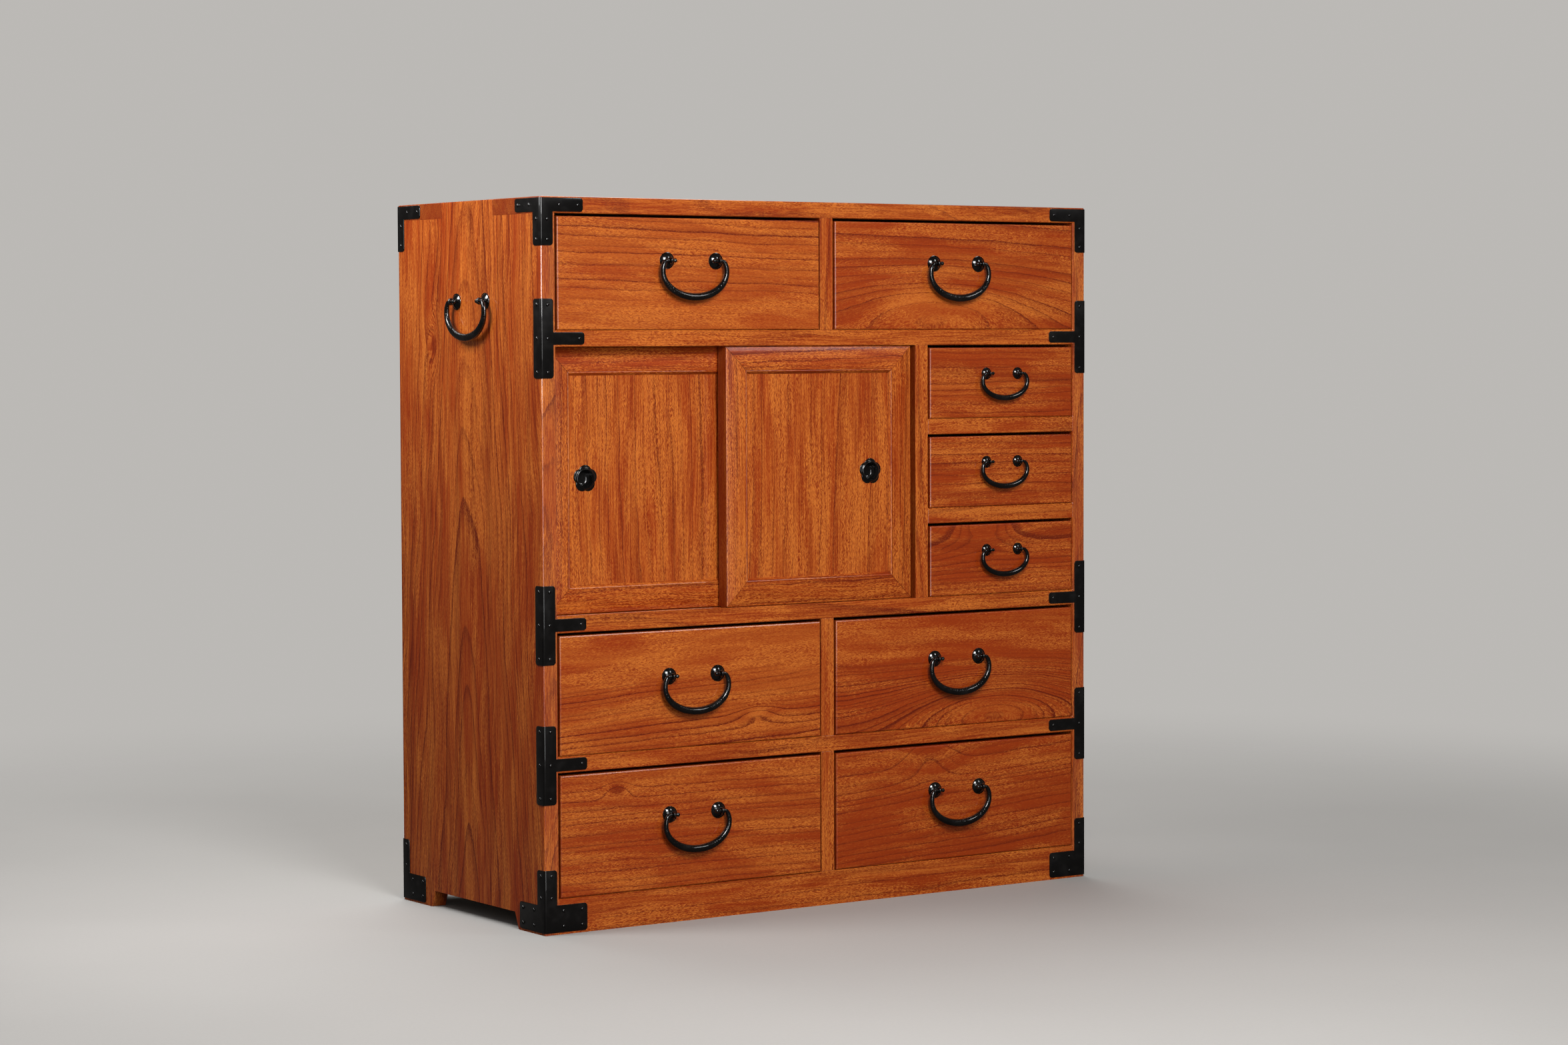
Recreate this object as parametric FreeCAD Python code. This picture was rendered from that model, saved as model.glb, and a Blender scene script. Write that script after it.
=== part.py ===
import FreeCAD, Part
import math
import os

# Small tansu chest: a joined case with nine drawers, a cabinet with two sliding doors,
# forged bail handles and folded iron corner brackets. All lengths are in millimetres.
# X runs along the front from the centre plane, Y runs from the front into the depth and
# Z runs up from the floor. Pieces are drawn with Y = 0 on the case's front face and are
# moved by FRAME_SHIFT at the end, so that the origin is under the middle of the chest.

# Case boards
CASE_DEPTH = 320.0
SIDE_THICK = 18.0
TOP_THICK = 18.0
SHELF_THICK = 18.0
DIVIDER_THICK = 18.0
BASE_RAIL_THICK = 18.0
BASE_RAIL_HEIGHT = 39.0
BOTTOM_THICK = 12.0
BACK_THICK = 8.0
BACK_LAP = 9.0
BACK_BOARDS = 4
BACK_V = 1.2

# Openings of the front, counted from the base rail upwards
BOTTOM_ROW = 137.0
LOWER_ROW = 134.0
CABINET_ROW = 292.0
TOP_ROW = 126.0
HALF_OPENING = 348.0
SMALL_OPENING = 214.0
SMALL_COUNT = 3

# Joints and eased edges of the case
TONGUE = 5.0
BASE_TENON_EDGE = 8.0
BASE_TENON_FACE = 5.0
EASE = 0.8
CORNER_ROUND = 1.5
TOP_ROUND = 1.2
TOP_FINGER = 102.5
FOOT_FRONT = 57.0
FOOT_BACK = 66.0
FOOT_SLOPE = 8.0
FOOT_HEIGHT = 18.5

# Drawers
FRONT_THICK = 18.0
FRONT_PROUD = 1.0
FRONT_ROUND = 1.6
FRONT_SIDE_GAP = 1.75
FRONT_TOP_GAP = 3.0
RUN_GAP = 0.3
DRAWER_SIDE = 10.0
DRAWER_BACK = 10.0
DRAWER_BOTTOM = 6.0
BOTTOM_GROOVE = 4.0
BOTTOM_RAISE = 5.0
SIDE_LAP = 11.0
SIDE_DROP = 4.0
DRAWER_REAR_GAP = 4.0

# Sliding doors
DOOR_OVERLAP = 35.0
DOOR_THICK = 16.0
DOOR_INSET = 2.0
DOOR_SPACE = 3.0
DOOR_END_GAP = 0.5
RIGHT_DOOR_BACK_OFF = 5.5
DOOR_PLAY = 0.5
MEMBER_FACE = 28.0
MEMBER_BEVEL = 3.0
PANEL_RECESS = 3.5
PANEL_THICK = 8.0
PANEL_GROOVE = 5.0
DOOR_TONGUE = 8.0
TONGUE_INSET = 4.0
DOOR_ARRIS = 1.0
PANEL_FLOAT = 0.5
TRACK_GAP = 0.3
LOWER_TRACK = 3.0
UPPER_TRACK = 9.0
UPPER_TONGUE = 5.0

# Plum-blossom finger pulls
PULL_LOBES = 5
PULL_LOBE_RADIUS = 8.5
PULL_LOBE_CENTRE = 6.5
PULL_LOBE_FACETS = 6
PULL_PLATE = 1.1
PULL_EDGE = 0.55
PULL_BEVEL = 0.6
PULL_RIM_HEIGHT = 2.4
PULL_RIM_FOOT = 12.2
PULL_RIM_CREST = 10.8
PULL_CUP_RADIUS = 9.6
PULL_CUP_FLOOR = 7.0
PULL_CUP_DEPTH = 7.6
PULL_WALL = 0.8
PULL_HOLE_GAP = 0.3
PULL_FACETS = 24
PULL_RISE = 2.0
LEFT_PULL_EDGE = 50.3
RIGHT_PULL_EDGE = 55.6

# Handles: spacing of the eye pins, width and drop of the bail, and its forged sections
LARGE = dict(
    spacing=64.0,
    width=90.0,
    drop=45.0,
    shoulder=12.0,
    belly=4.8,
    flank=3.1,
    pin=1.92,
    ball=2.5,
    rosette=9.3,
    dome=4.0,
    eye=3.4,
    standoff=7.6,
)
SMALL = dict(
    spacing=46.0,
    width=71.0,
    drop=32.5,
    shoulder=9.5,
    belly=3.6,
    flank=2.6,
    pin=1.62,
    ball=2.1,
    rosette=7.0,
    dome=3.4,
    eye=2.9,
    standoff=6.4,
)
BAIL_FACETS = 8
TIP_REACH = 1.9
TIP_SHARE = 0.55
ARC_SPANS = 4
SHOULDER_SPANS = 3
PIN_CLEARANCE = 0.07
EYE_CLEARANCE = 0.5
ROSETTE_RIM = 1.0
DOME_KNEE = 0.7
EYE_NECK = 0.8
EYE_CROWN = 0.55
POST_FACETS = 12
HOLE_FACETS = 8
SHANK = 3.2
LEG_THICK = 1.2
LEG_LENGTH = 9.0
LARGE_RAISE = 14.5
SMALL_RAISE = 10.7
SIDE_HANDLE_DEPTH = 152.0
SIDE_HANDLE_DROP = 111.5

# Iron brackets, folded round the vertical corners
PLATE = 1.0
LEAF_WIDTH = 15.0
LEAF_CORNER = 3.5
TEE_HALF = 43.0
TEE_ARM = 54.0
TEE_ARM_WIDTH = 13.5
TOP_ARM = 53.0
TOP_ARM_WIDTH = 15.0
TOP_LEG = 53.0
FOOT_LEG = 71.0
FOOT_ARM = 53.0
FOOT_PLATE_TOP = 32.3
FOOT_PLATE_LIFT = 2.5

# Dome-headed nails in the brackets
NAIL_RADIUS = 2.2
NAIL_CROWN = 1.1
NAIL_HEIGHT = 1.2
NAIL_FACETS = 5
NAIL_EDGE = 6.5
NAIL_MIDDLE = 7.8
NAIL_SECOND = 23.0
TOP_NAIL_STEP = 16.0
FOOT_NAIL_STEP = 24.0

# Facets of small rounded edges, and how flat four corners must be to share a face
ROUND_STEPS = 2
FLATNESS = 1e-6

# Sizes that follow from the ones above
V = FreeCAD.Vector
HOUSING_STOP = BASE_RAIL_THICK
INNER_HALF = HALF_OPENING + DIVIDER_THICK / 2
CASE_HALF = INNER_HALF + SIDE_THICK
BOTTOM_Z = BASE_RAIL_HEIGHT
SHELF_3_Z = BOTTOM_Z + BOTTOM_ROW
LOWER_Z = SHELF_3_Z + SHELF_THICK
SHELF_2_Z = LOWER_Z + LOWER_ROW
CABINET_Z = SHELF_2_Z + SHELF_THICK
SHELF_1_Z = CABINET_Z + CABINET_ROW
TOP_Z = SHELF_1_Z + SHELF_THICK
LID_Z = TOP_Z + TOP_ROW
CASE_HEIGHT = LID_Z + TOP_THICK
BACK_Y = CASE_DEPTH - BACK_THICK
BACK_LOW = BOTTOM_Z - BOTTOM_THICK
SMALL_X = INNER_HALF - SMALL_OPENING
DOOR_RIGHT_X = SMALL_X - DIVIDER_THICK
SMALL_HEIGHT = (CABINET_ROW - (SMALL_COUNT - 1) * SHELF_THICK) / SMALL_COUNT
SMALL_PITCH = SMALL_HEIGHT + SHELF_THICK
REAR_DOOR_Y = DOOR_INSET + DOOR_THICK + DOOR_SPACE
LEFT_DOOR_X = -INNER_HALF + DOOR_END_GAP
DOOR_WIDTH = (DOOR_RIGHT_X - RIGHT_DOOR_BACK_OFF - LEFT_DOOR_X + DOOR_OVERLAP) / 2
RIGHT_DOOR_X = DOOR_RIGHT_X - RIGHT_DOOR_BACK_OFF - DOOR_WIDTH
DOOR_Z = CABINET_Z + DOOR_PLAY
DOOR_HEIGHT = CABINET_ROW - 2 * DOOR_PLAY
PULL_Z = DOOR_HEIGHT / 2 + PULL_RISE
FRONT_REACH = FRONT_PROUD + LARGE["standoff"] + LARGE["belly"] * math.cos(math.pi / BAIL_FACETS)
BACK_REACH = PLATE + NAIL_HEIGHT
FRAME_SHIFT = V(0, (FRONT_REACH - CASE_DEPTH - BACK_REACH) / 2, 0)


def box(x0, x1, y0, y1, z0, z1):
    """Block between two opposite corners."""
    return Part.makeBox(x1 - x0, y1 - y0, z1 - z0, V(x0, y0, z0))


def mirrored(shape):
    """Copy on the other side of the chest's centre plane."""
    return shape.mirror(V(0, 0, 0), V(1, 0, 0))


def mirrored_in_depth(shape):
    """Copy on the other side of the plane halfway through the case's depth."""
    return shape.mirror(V(0, CASE_DEPTH / 2, 0), V(0, 1, 0))


def polygon_face(points):
    """Flat face inside a closed chain of corners."""
    return Part.Face(Part.makePolygon(points + [points[0]]))


def ring(centre, radius, across, along, count):
    """Corners of a regular polygon, with a flat side facing the first direction."""
    points = []
    for i in range(count):
        turn = 2 * math.pi * (i + 0.5) / count
        points.append(centre + across * (radius * math.cos(turn)) + along * (radius * math.sin(turn)))
    return points


def panel_between(a, b, c, d):
    """Flat face through four corners, or two triangles where they twist."""
    lift = (b - a).cross(c - a)
    if abs(lift.dot(d - a)) < FLATNESS * lift.Length:
        return [polygon_face([a, b, c, d])]
    return [polygon_face([a, b, c]), polygon_face([a, c, d])]


def skinned(rings):
    """Solid with flat facets through a row of rings that have as many corners each."""
    faces = [polygon_face(rings[0]), polygon_face(rings[-1])]
    for near, far in zip(rings, rings[1:]):
        for i in range(len(near)):
            faces += panel_between(near[i - 1], near[i], far[i], far[i - 1])
    solid = Part.makeSolid(Part.makeShell(faces))
    if solid.Volume < 0:
        solid.reverse()
    return solid


def turned(stations, count):
    """Faceted solid along -Y from (distance out, radius) stations."""
    return skinned([ring(V(0, -out, 0), radius, V(1, 0, 0), V(0, 0, 1), count) for out, radius in stations])


def arris(u, v, radius, first):
    """Points round a quarter turn about (u, v), starting at an angle in quarter turns."""
    turns = [math.pi / 2 * (first + i / ROUND_STEPS) for i in range(ROUND_STEPS + 1)]
    return [(u + radius * math.cos(turn), v + radius * math.sin(turn)) for turn in turns]


def rounded_rectangle(u0, u1, v0, v1, radius):
    """Corners of a rectangle whose corners are rounded."""
    return (
        arris(u1 - radius, v1 - radius, radius, 0)
        + arris(u0 + radius, v1 - radius, radius, 1)
        + arris(u0 + radius, v0 + radius, radius, 2)
        + arris(u1 - radius, v0 + radius, radius, 3)
    )


def rounded_outline(corners, place):
    """Points of a closed outline through (u, v, radius) corners; place puts them in space."""
    points = []
    for i, (u, v, radius) in enumerate(corners):
        here = V(u, v, 0)
        before = (V(*corners[i - 1][:2], 0) - here).normalize()
        after = (V(*corners[(i + 1) % len(corners)][:2], 0) - here).normalize()
        centre = here + (before + after) * radius
        steps = ROUND_STEPS if radius > 0 else 0
        for step in range(steps + 1):
            turn = math.pi / 2 * step / ROUND_STEPS
            point = centre - after * (radius * math.cos(turn)) - before * (radius * math.sin(turn))
            points.append(place(point.x, point.y))
    return points


# ---------------------------------------------------------------- case

def front_openings():
    """Every opening of the front as (x0, x1, z0, z1)."""
    half = DIVIDER_THICK / 2
    openings = []
    for low, height in ((BOTTOM_Z, BOTTOM_ROW), (LOWER_Z, LOWER_ROW), (TOP_Z, TOP_ROW)):
        openings.append((-INNER_HALF, -half, low, low + height))
        openings.append((half, INNER_HALF, low, low + height))
    openings.append((-INNER_HALF, DOOR_RIGHT_X, CABINET_Z, SHELF_1_Z))
    for i in range(SMALL_COUNT):
        low = CABINET_Z + i * SMALL_PITCH
        openings.append((SMALL_X, INNER_HALF, low, low + SMALL_HEIGHT))
    return openings


def easing(x0, x1, z0, z1):
    """Plug with flared sides: its flare is the eased front edge round one opening."""
    rings = []
    for y, grow in ((EASE, 0.0), (0.0, EASE)):
        rings.append([
            V(x0 - grow, y, z0 - grow),
            V(x1 + grow, y, z0 - grow),
            V(x1 + grow, y, z1 + grow),
            V(x0 - grow, y, z1 + grow),
        ])
    return skinned(rings)


def eased(board):
    """Board with the front edges round every opening taken off."""
    for opening in front_openings():
        plug = easing(*opening)
        if plug.BoundBox.intersect(board.BoundBox):
            board = board.cut(plug)
    return board


def with_tongue(board, x0, x1, z0, z1):
    """Board with a tongue that starts behind the stopped front of its housings."""
    return board.fuse(box(x0, x1, HOUSING_STOP, BACK_Y, z0, z1)).removeSplitter()


def housed(board, neighbours):
    """Board with the housings that its neighbours' tongues fill."""
    for neighbour in neighbours:
        board = board.cut(neighbour)
    return board


def back_recess():
    """Space that the back boards fill in the sides and the top."""
    reach = INNER_HALF + BACK_LAP
    return box(-reach, reach, BACK_Y, CASE_DEPTH, BACK_LOW, LID_Z + BACK_LAP)


def shelf(z):
    """Full-width shelf board with a tongue at each end."""
    board = box(-INNER_HALF, INNER_HALF, 0, BACK_Y, z, z + SHELF_THICK)
    reach = INNER_HALF + TONGUE
    return with_tongue(board, -reach, reach, z, z + SHELF_THICK)


def bottom_board():
    """Board under the bottom drawers, behind the base rail."""
    reach = INNER_HALF + TONGUE
    board = box(-INNER_HALF, INNER_HALF, BASE_RAIL_THICK, BACK_Y, BACK_LOW, BOTTOM_Z)
    return with_tongue(board, -reach, reach, BACK_LOW, BOTTOM_Z)


def base_rail():
    """Rail that stands on the floor, with a stub tenon at each end."""
    rail = box(-INNER_HALF, INNER_HALF, 0, BASE_RAIL_THICK, 0, BASE_RAIL_HEIGHT)
    reach = INNER_HALF + TONGUE
    low = BASE_TENON_EDGE
    high = BASE_RAIL_HEIGHT - BASE_TENON_EDGE
    tenon = box(-reach, reach, BASE_TENON_FACE, BASE_RAIL_THICK - BASE_TENON_FACE, low, high)
    return rail.fuse(tenon).removeSplitter()


def divider(x0, x1, z0, z1):
    """Upright board with a tongue at the top and the bottom."""
    board = box(x0, x1, 0, BACK_Y, z0, z1)
    return with_tongue(board, x0, x1, z0 - TONGUE, z1 + TONGUE)


def centre_divider(z0, z1):
    """Divider between the two drawers of one row."""
    return divider(-DIVIDER_THICK / 2, DIVIDER_THICK / 2, z0, z1)


def small_shelves():
    """Short shelves between the small drawers."""
    shelves = []
    for i in range(1, SMALL_COUNT):
        low = CABINET_Z + i * SMALL_PITCH - SHELF_THICK
        board = box(SMALL_X, INNER_HALF, 0, BACK_Y, low, low + SHELF_THICK)
        tongued = with_tongue(board, SMALL_X - TONGUE, INNER_HALF + TONGUE, low, low + SHELF_THICK)
        shelves.append(tongued)
    return shelves


def door_track(y, z0, z1):
    """Groove for one door's tongue along the whole cabinet opening."""
    front = y + TONGUE_INSET - TRACK_GAP
    return box(-INNER_HALF, DOOR_RIGHT_X, front, front + DOOR_TONGUE + 2 * TRACK_GAP, z0, z1)


def top_slab():
    """Outer form of the top, with rounded corners and a rounded upper edge."""
    rings = [rounded_rectangle(-CASE_HALF, CASE_HALF, 0, CASE_DEPTH, CORNER_ROUND)]
    levels = [LID_Z]
    for inset, drop in arris(0.0, 0.0, TOP_ROUND, 0):
        inset = TOP_ROUND - inset
        rings.append(rounded_rectangle(
            inset - CASE_HALF, CASE_HALF - inset, inset, CASE_DEPTH - inset, CORNER_ROUND - inset,
        ))
        levels.append(CASE_HEIGHT - TOP_ROUND + drop)
    return skinned([[V(x, y, z) for x, y in outline] for outline, z in zip(rings, levels)])


def top_finger():
    """Finger of the left side that fills the notch in the top's end."""
    notch = box(-CASE_HALF, -INNER_HALF, TOP_FINGER, CASE_DEPTH - TOP_FINGER, LID_Z, CASE_HEIGHT)
    return top_slab().common(notch)


def side_panel(neighbours):
    """Left side board: two feet, a top finger, housings and a rebate."""
    left = -CASE_HALF
    plan = (
        [(-INNER_HALF, 0), (-INNER_HALF, CASE_DEPTH)]
        + arris(left + CORNER_ROUND, CASE_DEPTH - CORNER_ROUND, CORNER_ROUND, 1)
        + arris(left + CORNER_ROUND, CORNER_ROUND, CORNER_ROUND, 2)
    )
    panel = polygon_face([V(x, y, 0) for x, y in plan]).extrude(V(0, 0, LID_Z))
    panel = panel.fuse(top_finger()).removeSplitter()
    gap = polygon_face([
        V(left, FOOT_FRONT, 0),
        V(left, FOOT_FRONT + FOOT_SLOPE, FOOT_HEIGHT),
        V(left, CASE_DEPTH - FOOT_BACK - FOOT_SLOPE, FOOT_HEIGHT),
        V(left, CASE_DEPTH - FOOT_BACK, 0),
    ])
    panel = panel.cut(gap.extrude(V(SIDE_THICK, 0, 0)))
    return housed(panel, neighbours + [back_recess()])


def top_board(neighbours):
    """Top board with two fingers at each end, rounded outside and rebated behind."""
    finger = top_finger()
    fingers = [finger, mirrored(finger)]
    return eased(housed(top_slab(), fingers + neighbours + [back_recess()]))


def back_boards():
    """Upright back boards side by side, with a small V between them."""
    reach = INNER_HALF + BACK_LAP
    width = 2 * reach / BACK_BOARDS
    boards = []
    for i in range(BACK_BOARDS):
        x0 = -reach + i * width
        x1 = x0 + width
        outline = polygon_face([
            V(x0, BACK_Y, BACK_LOW),
            V(x1, BACK_Y, BACK_LOW),
            V(x1, CASE_DEPTH - BACK_V, BACK_LOW),
            V(x1 - BACK_V, CASE_DEPTH, BACK_LOW),
            V(x0 + BACK_V, CASE_DEPTH, BACK_LOW),
            V(x0, CASE_DEPTH - BACK_V, BACK_LOW),
        ])
        boards.append(outline.extrude(V(0, 0, LID_Z + BACK_LAP - BACK_LOW)))
    return boards


def case_parts():
    """All boards of the case, cut to fit one another."""
    upper = shelf(SHELF_1_Z)
    middle = shelf(SHELF_2_Z)
    lower = shelf(SHELF_3_Z)
    bottom = bottom_board()
    rail = base_rail()
    dividers = [
        centre_divider(BOTTOM_Z, SHELF_3_Z),
        centre_divider(LOWER_Z, SHELF_2_Z),
        centre_divider(TOP_Z, LID_Z),
    ]
    partition = divider(DOOR_RIGHT_X, SMALL_X, CABINET_Z, SHELF_1_Z)
    short = small_shelves()
    across = [upper, middle, lower, bottom, rail]
    shanks = side_handle_shanks()
    left = side_panel(across + shanks)
    right = mirrored(side_panel([mirrored(piece) for piece in across + short] + shanks))
    for y in (DOOR_INSET, REAR_DOOR_Y):
        upper = upper.cut(door_track(y, SHELF_1_Z, SHELF_1_Z + UPPER_TRACK))
        middle = middle.cut(door_track(y, CABINET_Z - LOWER_TRACK, CABINET_Z))
    return {
        "side_left": [eased(left)],
        "side_right": [eased(right)],
        "top_board": [top_board(dividers)],
        "bottom_board": [housed(bottom, dividers)],
        "base_rail": [eased(rail)],
        "shelf_upper": [eased(housed(upper, dividers + [partition]))],
        "shelf_middle": [eased(housed(middle, dividers + [partition]))],
        "shelf_lower": [eased(housed(lower, dividers))],
        "centre_dividers": [eased(piece) for piece in dividers],
        "cabinet_divider": [eased(housed(partition, short))],
        "small_shelves": [eased(piece) for piece in short],
        "back_boards": back_boards(),
    }


# ---------------------------------------------------------------- handles

def bail_stations(size):
    """Centre line of half a bail, from its middle to one tip: (x, z, heading, radius)."""
    side = size["width"] / 2 - size["flank"]
    low = size["drop"] - size["belly"] - size["shoulder"]
    pin_out = size["spacing"] / 2 + size["eye"] + EYE_CLEARANCE
    pin_in = size["spacing"] / 2 - size["eye"] - EYE_CLEARANCE
    turn_in = side - pin_out
    stations = []
    for i in range(ARC_SPANS + 1):
        turn = math.pi / 2 * i / ARC_SPANS
        x = side * math.sin(turn)
        z = -size["shoulder"] - low * math.cos(turn)
        heading = V(side * math.cos(turn), 0, low * math.sin(turn))
        radius = size["flank"] + (size["belly"] - size["flank"]) * math.cos(turn)
        stations.append((x, z, heading, radius))
    for i in range(1, SHOULDER_SPANS + 1):
        turn = math.pi / 2 * i / SHOULDER_SPANS
        x = pin_out + turn_in * math.cos(turn)
        z = size["shoulder"] * (math.sin(turn) - 1)
        heading = V(-turn_in * math.sin(turn), 0, size["shoulder"] * math.cos(turn))
        radius = size["flank"] + (size["pin"] - size["flank"]) * (1 - math.cos(turn))
        stations.append((x, z, heading, radius))
    inward = V(-1, 0, 0)
    ball = size["ball"]
    stations.append((pin_in, 0.0, inward, size["pin"]))
    stations.append((pin_in - ball, 0.0, inward, ball))
    stations.append((pin_in - TIP_REACH * ball, 0.0, inward, TIP_SHARE * ball))
    return stations


def bail(size):
    """Forged bail hanging from its two eyes: thick in the middle, tapering to the pins."""
    half = bail_stations(size)
    whole = [(-x, z, V(h.x, 0, -h.z), r) for x, z, h, r in reversed(half[1:])] + half
    rings = []
    for x, z, heading, radius in whole:
        across = V(heading.z, 0, -heading.x).normalize()
        rings.append(ring(V(x, -size["standoff"], z), radius, across, V(0, 1, 0), BAIL_FACETS))
    return skinned(rings)


def eye_post(size, thick):
    """Domed rosette with its eye pin: bored head, square leg and two clinched ends."""
    plate = size["rosette"]
    dome = size["dome"]
    eye = size["eye"]
    out = size["standoff"]
    post = turned([
        (0.0, plate),
        (ROSETTE_RIM, plate),
        (DOME_KNEE * dome, 1 - DOME_KNEE + DOME_KNEE * plate),
        (dome, EYE_NECK * eye),
        (out, eye),
        (out + eye, EYE_CROWN * eye),
    ], POST_FACETS)
    bore = (size["pin"] + PIN_CLEARANCE) / math.cos(math.pi / HOLE_FACETS)
    hole = [ring(V(x, -out, 0), bore, V(0, 1, 0), V(0, 0, 1), HOLE_FACETS) for x in (-2 * eye, 2 * eye)]
    post = post.cut(skinned(hole))
    leg = box(-SHANK / 2, SHANK / 2, 0, thick, -SHANK / 2, SHANK / 2)
    ends = box(-SHANK / 2, SHANK / 2, thick, thick + LEG_THICK, -LEG_LENGTH, LEG_LENGTH)
    return post.fuse(leg).fuse(ends).removeSplitter()


def pair(size, piece):
    """The same piece at both eyes of a handle."""
    half = size["spacing"] / 2
    return [piece.translated(V(x, 0, 0)) for x in (-half, half)]


def legs(size, thick):
    """Spaces that the two square legs fill in the wood."""
    return pair(size, box(-SHANK / 2, SHANK / 2, 0, thick, -SHANK / 2, SHANK / 2))


def on_left_side(shape):
    """Turn a front-facing shape onto the left side panel, at the handle's place."""
    shape = shape.rotated(V(0, 0, 0), V(0, 0, 1), -90)
    return shape.translated(V(-CASE_HALF, SIDE_HANDLE_DEPTH, CASE_HEIGHT - SIDE_HANDLE_DROP))


def side_handle_shanks():
    """Leg holes of the left side handle."""
    return [on_left_side(leg) for leg in legs(LARGE, SIDE_THICK)]


def side_handle_parts():
    """Carrying handles on the two sides."""
    posts = [on_left_side(post) for post in pair(LARGE, eye_post(LARGE, SIDE_THICK))]
    hanging = on_left_side(bail(LARGE))
    return {
        "side_posts": posts + [mirrored(post) for post in posts],
        "side_bail_left": [hanging],
        "side_bail_right": [mirrored(hanging)],
    }


# ---------------------------------------------------------------- drawers

def drawer_slab(x0, x1, z0, z1, rear):
    """Board of a drawer front, rounded along its four front edges."""
    rings = [[V(x0, rear, z0), V(x1, rear, z0), V(x1, rear, z1), V(x0, rear, z1)]]
    for out, rise in arris(0.0, 0.0, FRONT_ROUND, 0):
        inset = FRONT_ROUND - out
        y = FRONT_ROUND - FRONT_PROUD - rise
        rings.append([
            V(x0 + inset, y, z0 + inset),
            V(x1 - inset, y, z0 + inset),
            V(x1 - inset, y, z1 - inset),
            V(x0 + inset, y, z1 - inset),
        ])
    return skinned(rings)


def drawer_parts(name, opening, size, raised):
    """One drawer: front, box, eye posts and bail."""
    x0 = opening[0] + FRONT_SIDE_GAP
    x1 = opening[1] - FRONT_SIDE_GAP
    z0 = opening[2] + RUN_GAP
    z1 = opening[3] - FRONT_TOP_GAP
    rear = FRONT_THICK - FRONT_PROUD
    front = drawer_slab(x0, x1, z0, z1, rear)
    top = z1 - SIDE_DROP
    lap = rear - SIDE_LAP
    end = BACK_Y - DRAWER_REAR_GAP
    inner0 = x0 + DRAWER_SIDE
    inner1 = x1 - DRAWER_SIDE
    floor_z = z0 + BOTTOM_RAISE
    floor = box(
        inner0 - BOTTOM_GROOVE, inner1 + BOTTOM_GROOVE, rear - BOTTOM_GROOVE, end,
        floor_z, floor_z + DRAWER_BOTTOM,
    )
    sides = [box(x0, inner0, lap, end, z0, top), box(inner1, x1, lap, end, z0, top)]
    back = box(inner0, inner1, end - DRAWER_BACK, end, floor_z + DRAWER_BOTTOM, top)
    middle = V((x0 + x1) / 2, -FRONT_PROUD, (z0 + z1) / 2 + raised)
    leg_holes = [leg.translated(middle) for leg in legs(size, FRONT_THICK)]
    front = housed(front, sides + [floor] + leg_holes)
    sides = [side.cut(floor) for side in sides]
    return {
        name + "_front": [front],
        name + "_box": sides + [back, floor],
        name + "_posts": [post.translated(middle) for post in pair(size, eye_post(size, FRONT_THICK))],
        name + "_bail": [bail(size).translated(middle)],
    }


def all_drawers():
    """The nine drawers in their openings."""
    half = DIVIDER_THICK / 2
    rows = (
        ("top", TOP_Z, TOP_ROW),
        ("lower", LOWER_Z, LOWER_ROW),
        ("bottom", BOTTOM_Z, BOTTOM_ROW),
    )
    parts = {}
    for row, low, height in rows:
        left = (-INNER_HALF, -half, low, low + height)
        right = (half, INNER_HALF, low, low + height)
        parts.update(drawer_parts("drawer_%s_left" % row, left, LARGE, LARGE_RAISE))
        parts.update(drawer_parts("drawer_%s_right" % row, right, LARGE, LARGE_RAISE))
    for i in range(SMALL_COUNT):
        low = CABINET_Z + i * SMALL_PITCH
        opening = (SMALL_X, INNER_HALF, low, low + SMALL_HEIGHT)
        parts.update(drawer_parts("drawer_small_%d" % (i + 1), opening, SMALL, SMALL_RAISE))
    return parts


# ---------------------------------------------------------------- doors

def member(length):
    """Bottom member of a mitred door frame, moulded on its inner front edge."""
    inner = MEMBER_FACE + MEMBER_BEVEL
    groove = inner - PANEL_GROOVE
    behind = PANEL_RECESS + PANEL_THICK
    profile = [
        (0.0, DOOR_ARRIS),
        (DOOR_ARRIS, 0.0),
        (MEMBER_FACE, 0.0),
        (inner, PANEL_RECESS),
        (groove, PANEL_RECESS),
        (groove, behind),
        (inner, behind),
        (inner, DOOR_THICK),
        (0.0, DOOR_THICK),
    ]
    bar = polygon_face([V(0, y, z) for z, y in profile]).extrude(V(length, 0, 0))
    mitre = polygon_face([V(0, 0, 0), V(length, 0, 0), V(length - inner, 0, inner), V(inner, 0, inner)])
    return bar.common(mitre.extrude(V(0, DOOR_THICK, 0)))


def door_frame(width, height):
    """Four mitred members with a running tongue below and above."""
    bottom = member(width)
    stile = member(height)
    top = member(width).mirror(V(0, 0, height / 2), V(0, 0, 1))
    left = stile.rotated(V(0, 0, 0), V(0, 1, 0), -90).mirror(V(0, 0, 0), V(1, 0, 0))
    right = left.mirror(V(width / 2, 0, 0), V(1, 0, 0))
    back = TONGUE_INSET + DOOR_TONGUE
    low = box(0, width, TONGUE_INSET, back, -(DOOR_PLAY + LOWER_TRACK - TRACK_GAP), 0)
    high = box(0, width, TONGUE_INSET, back, height, height + DOOR_PLAY + UPPER_TONGUE)
    return [
        bottom.fuse(low).removeSplitter(),
        top.fuse(high).removeSplitter(),
        left,
        right,
    ]


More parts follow.
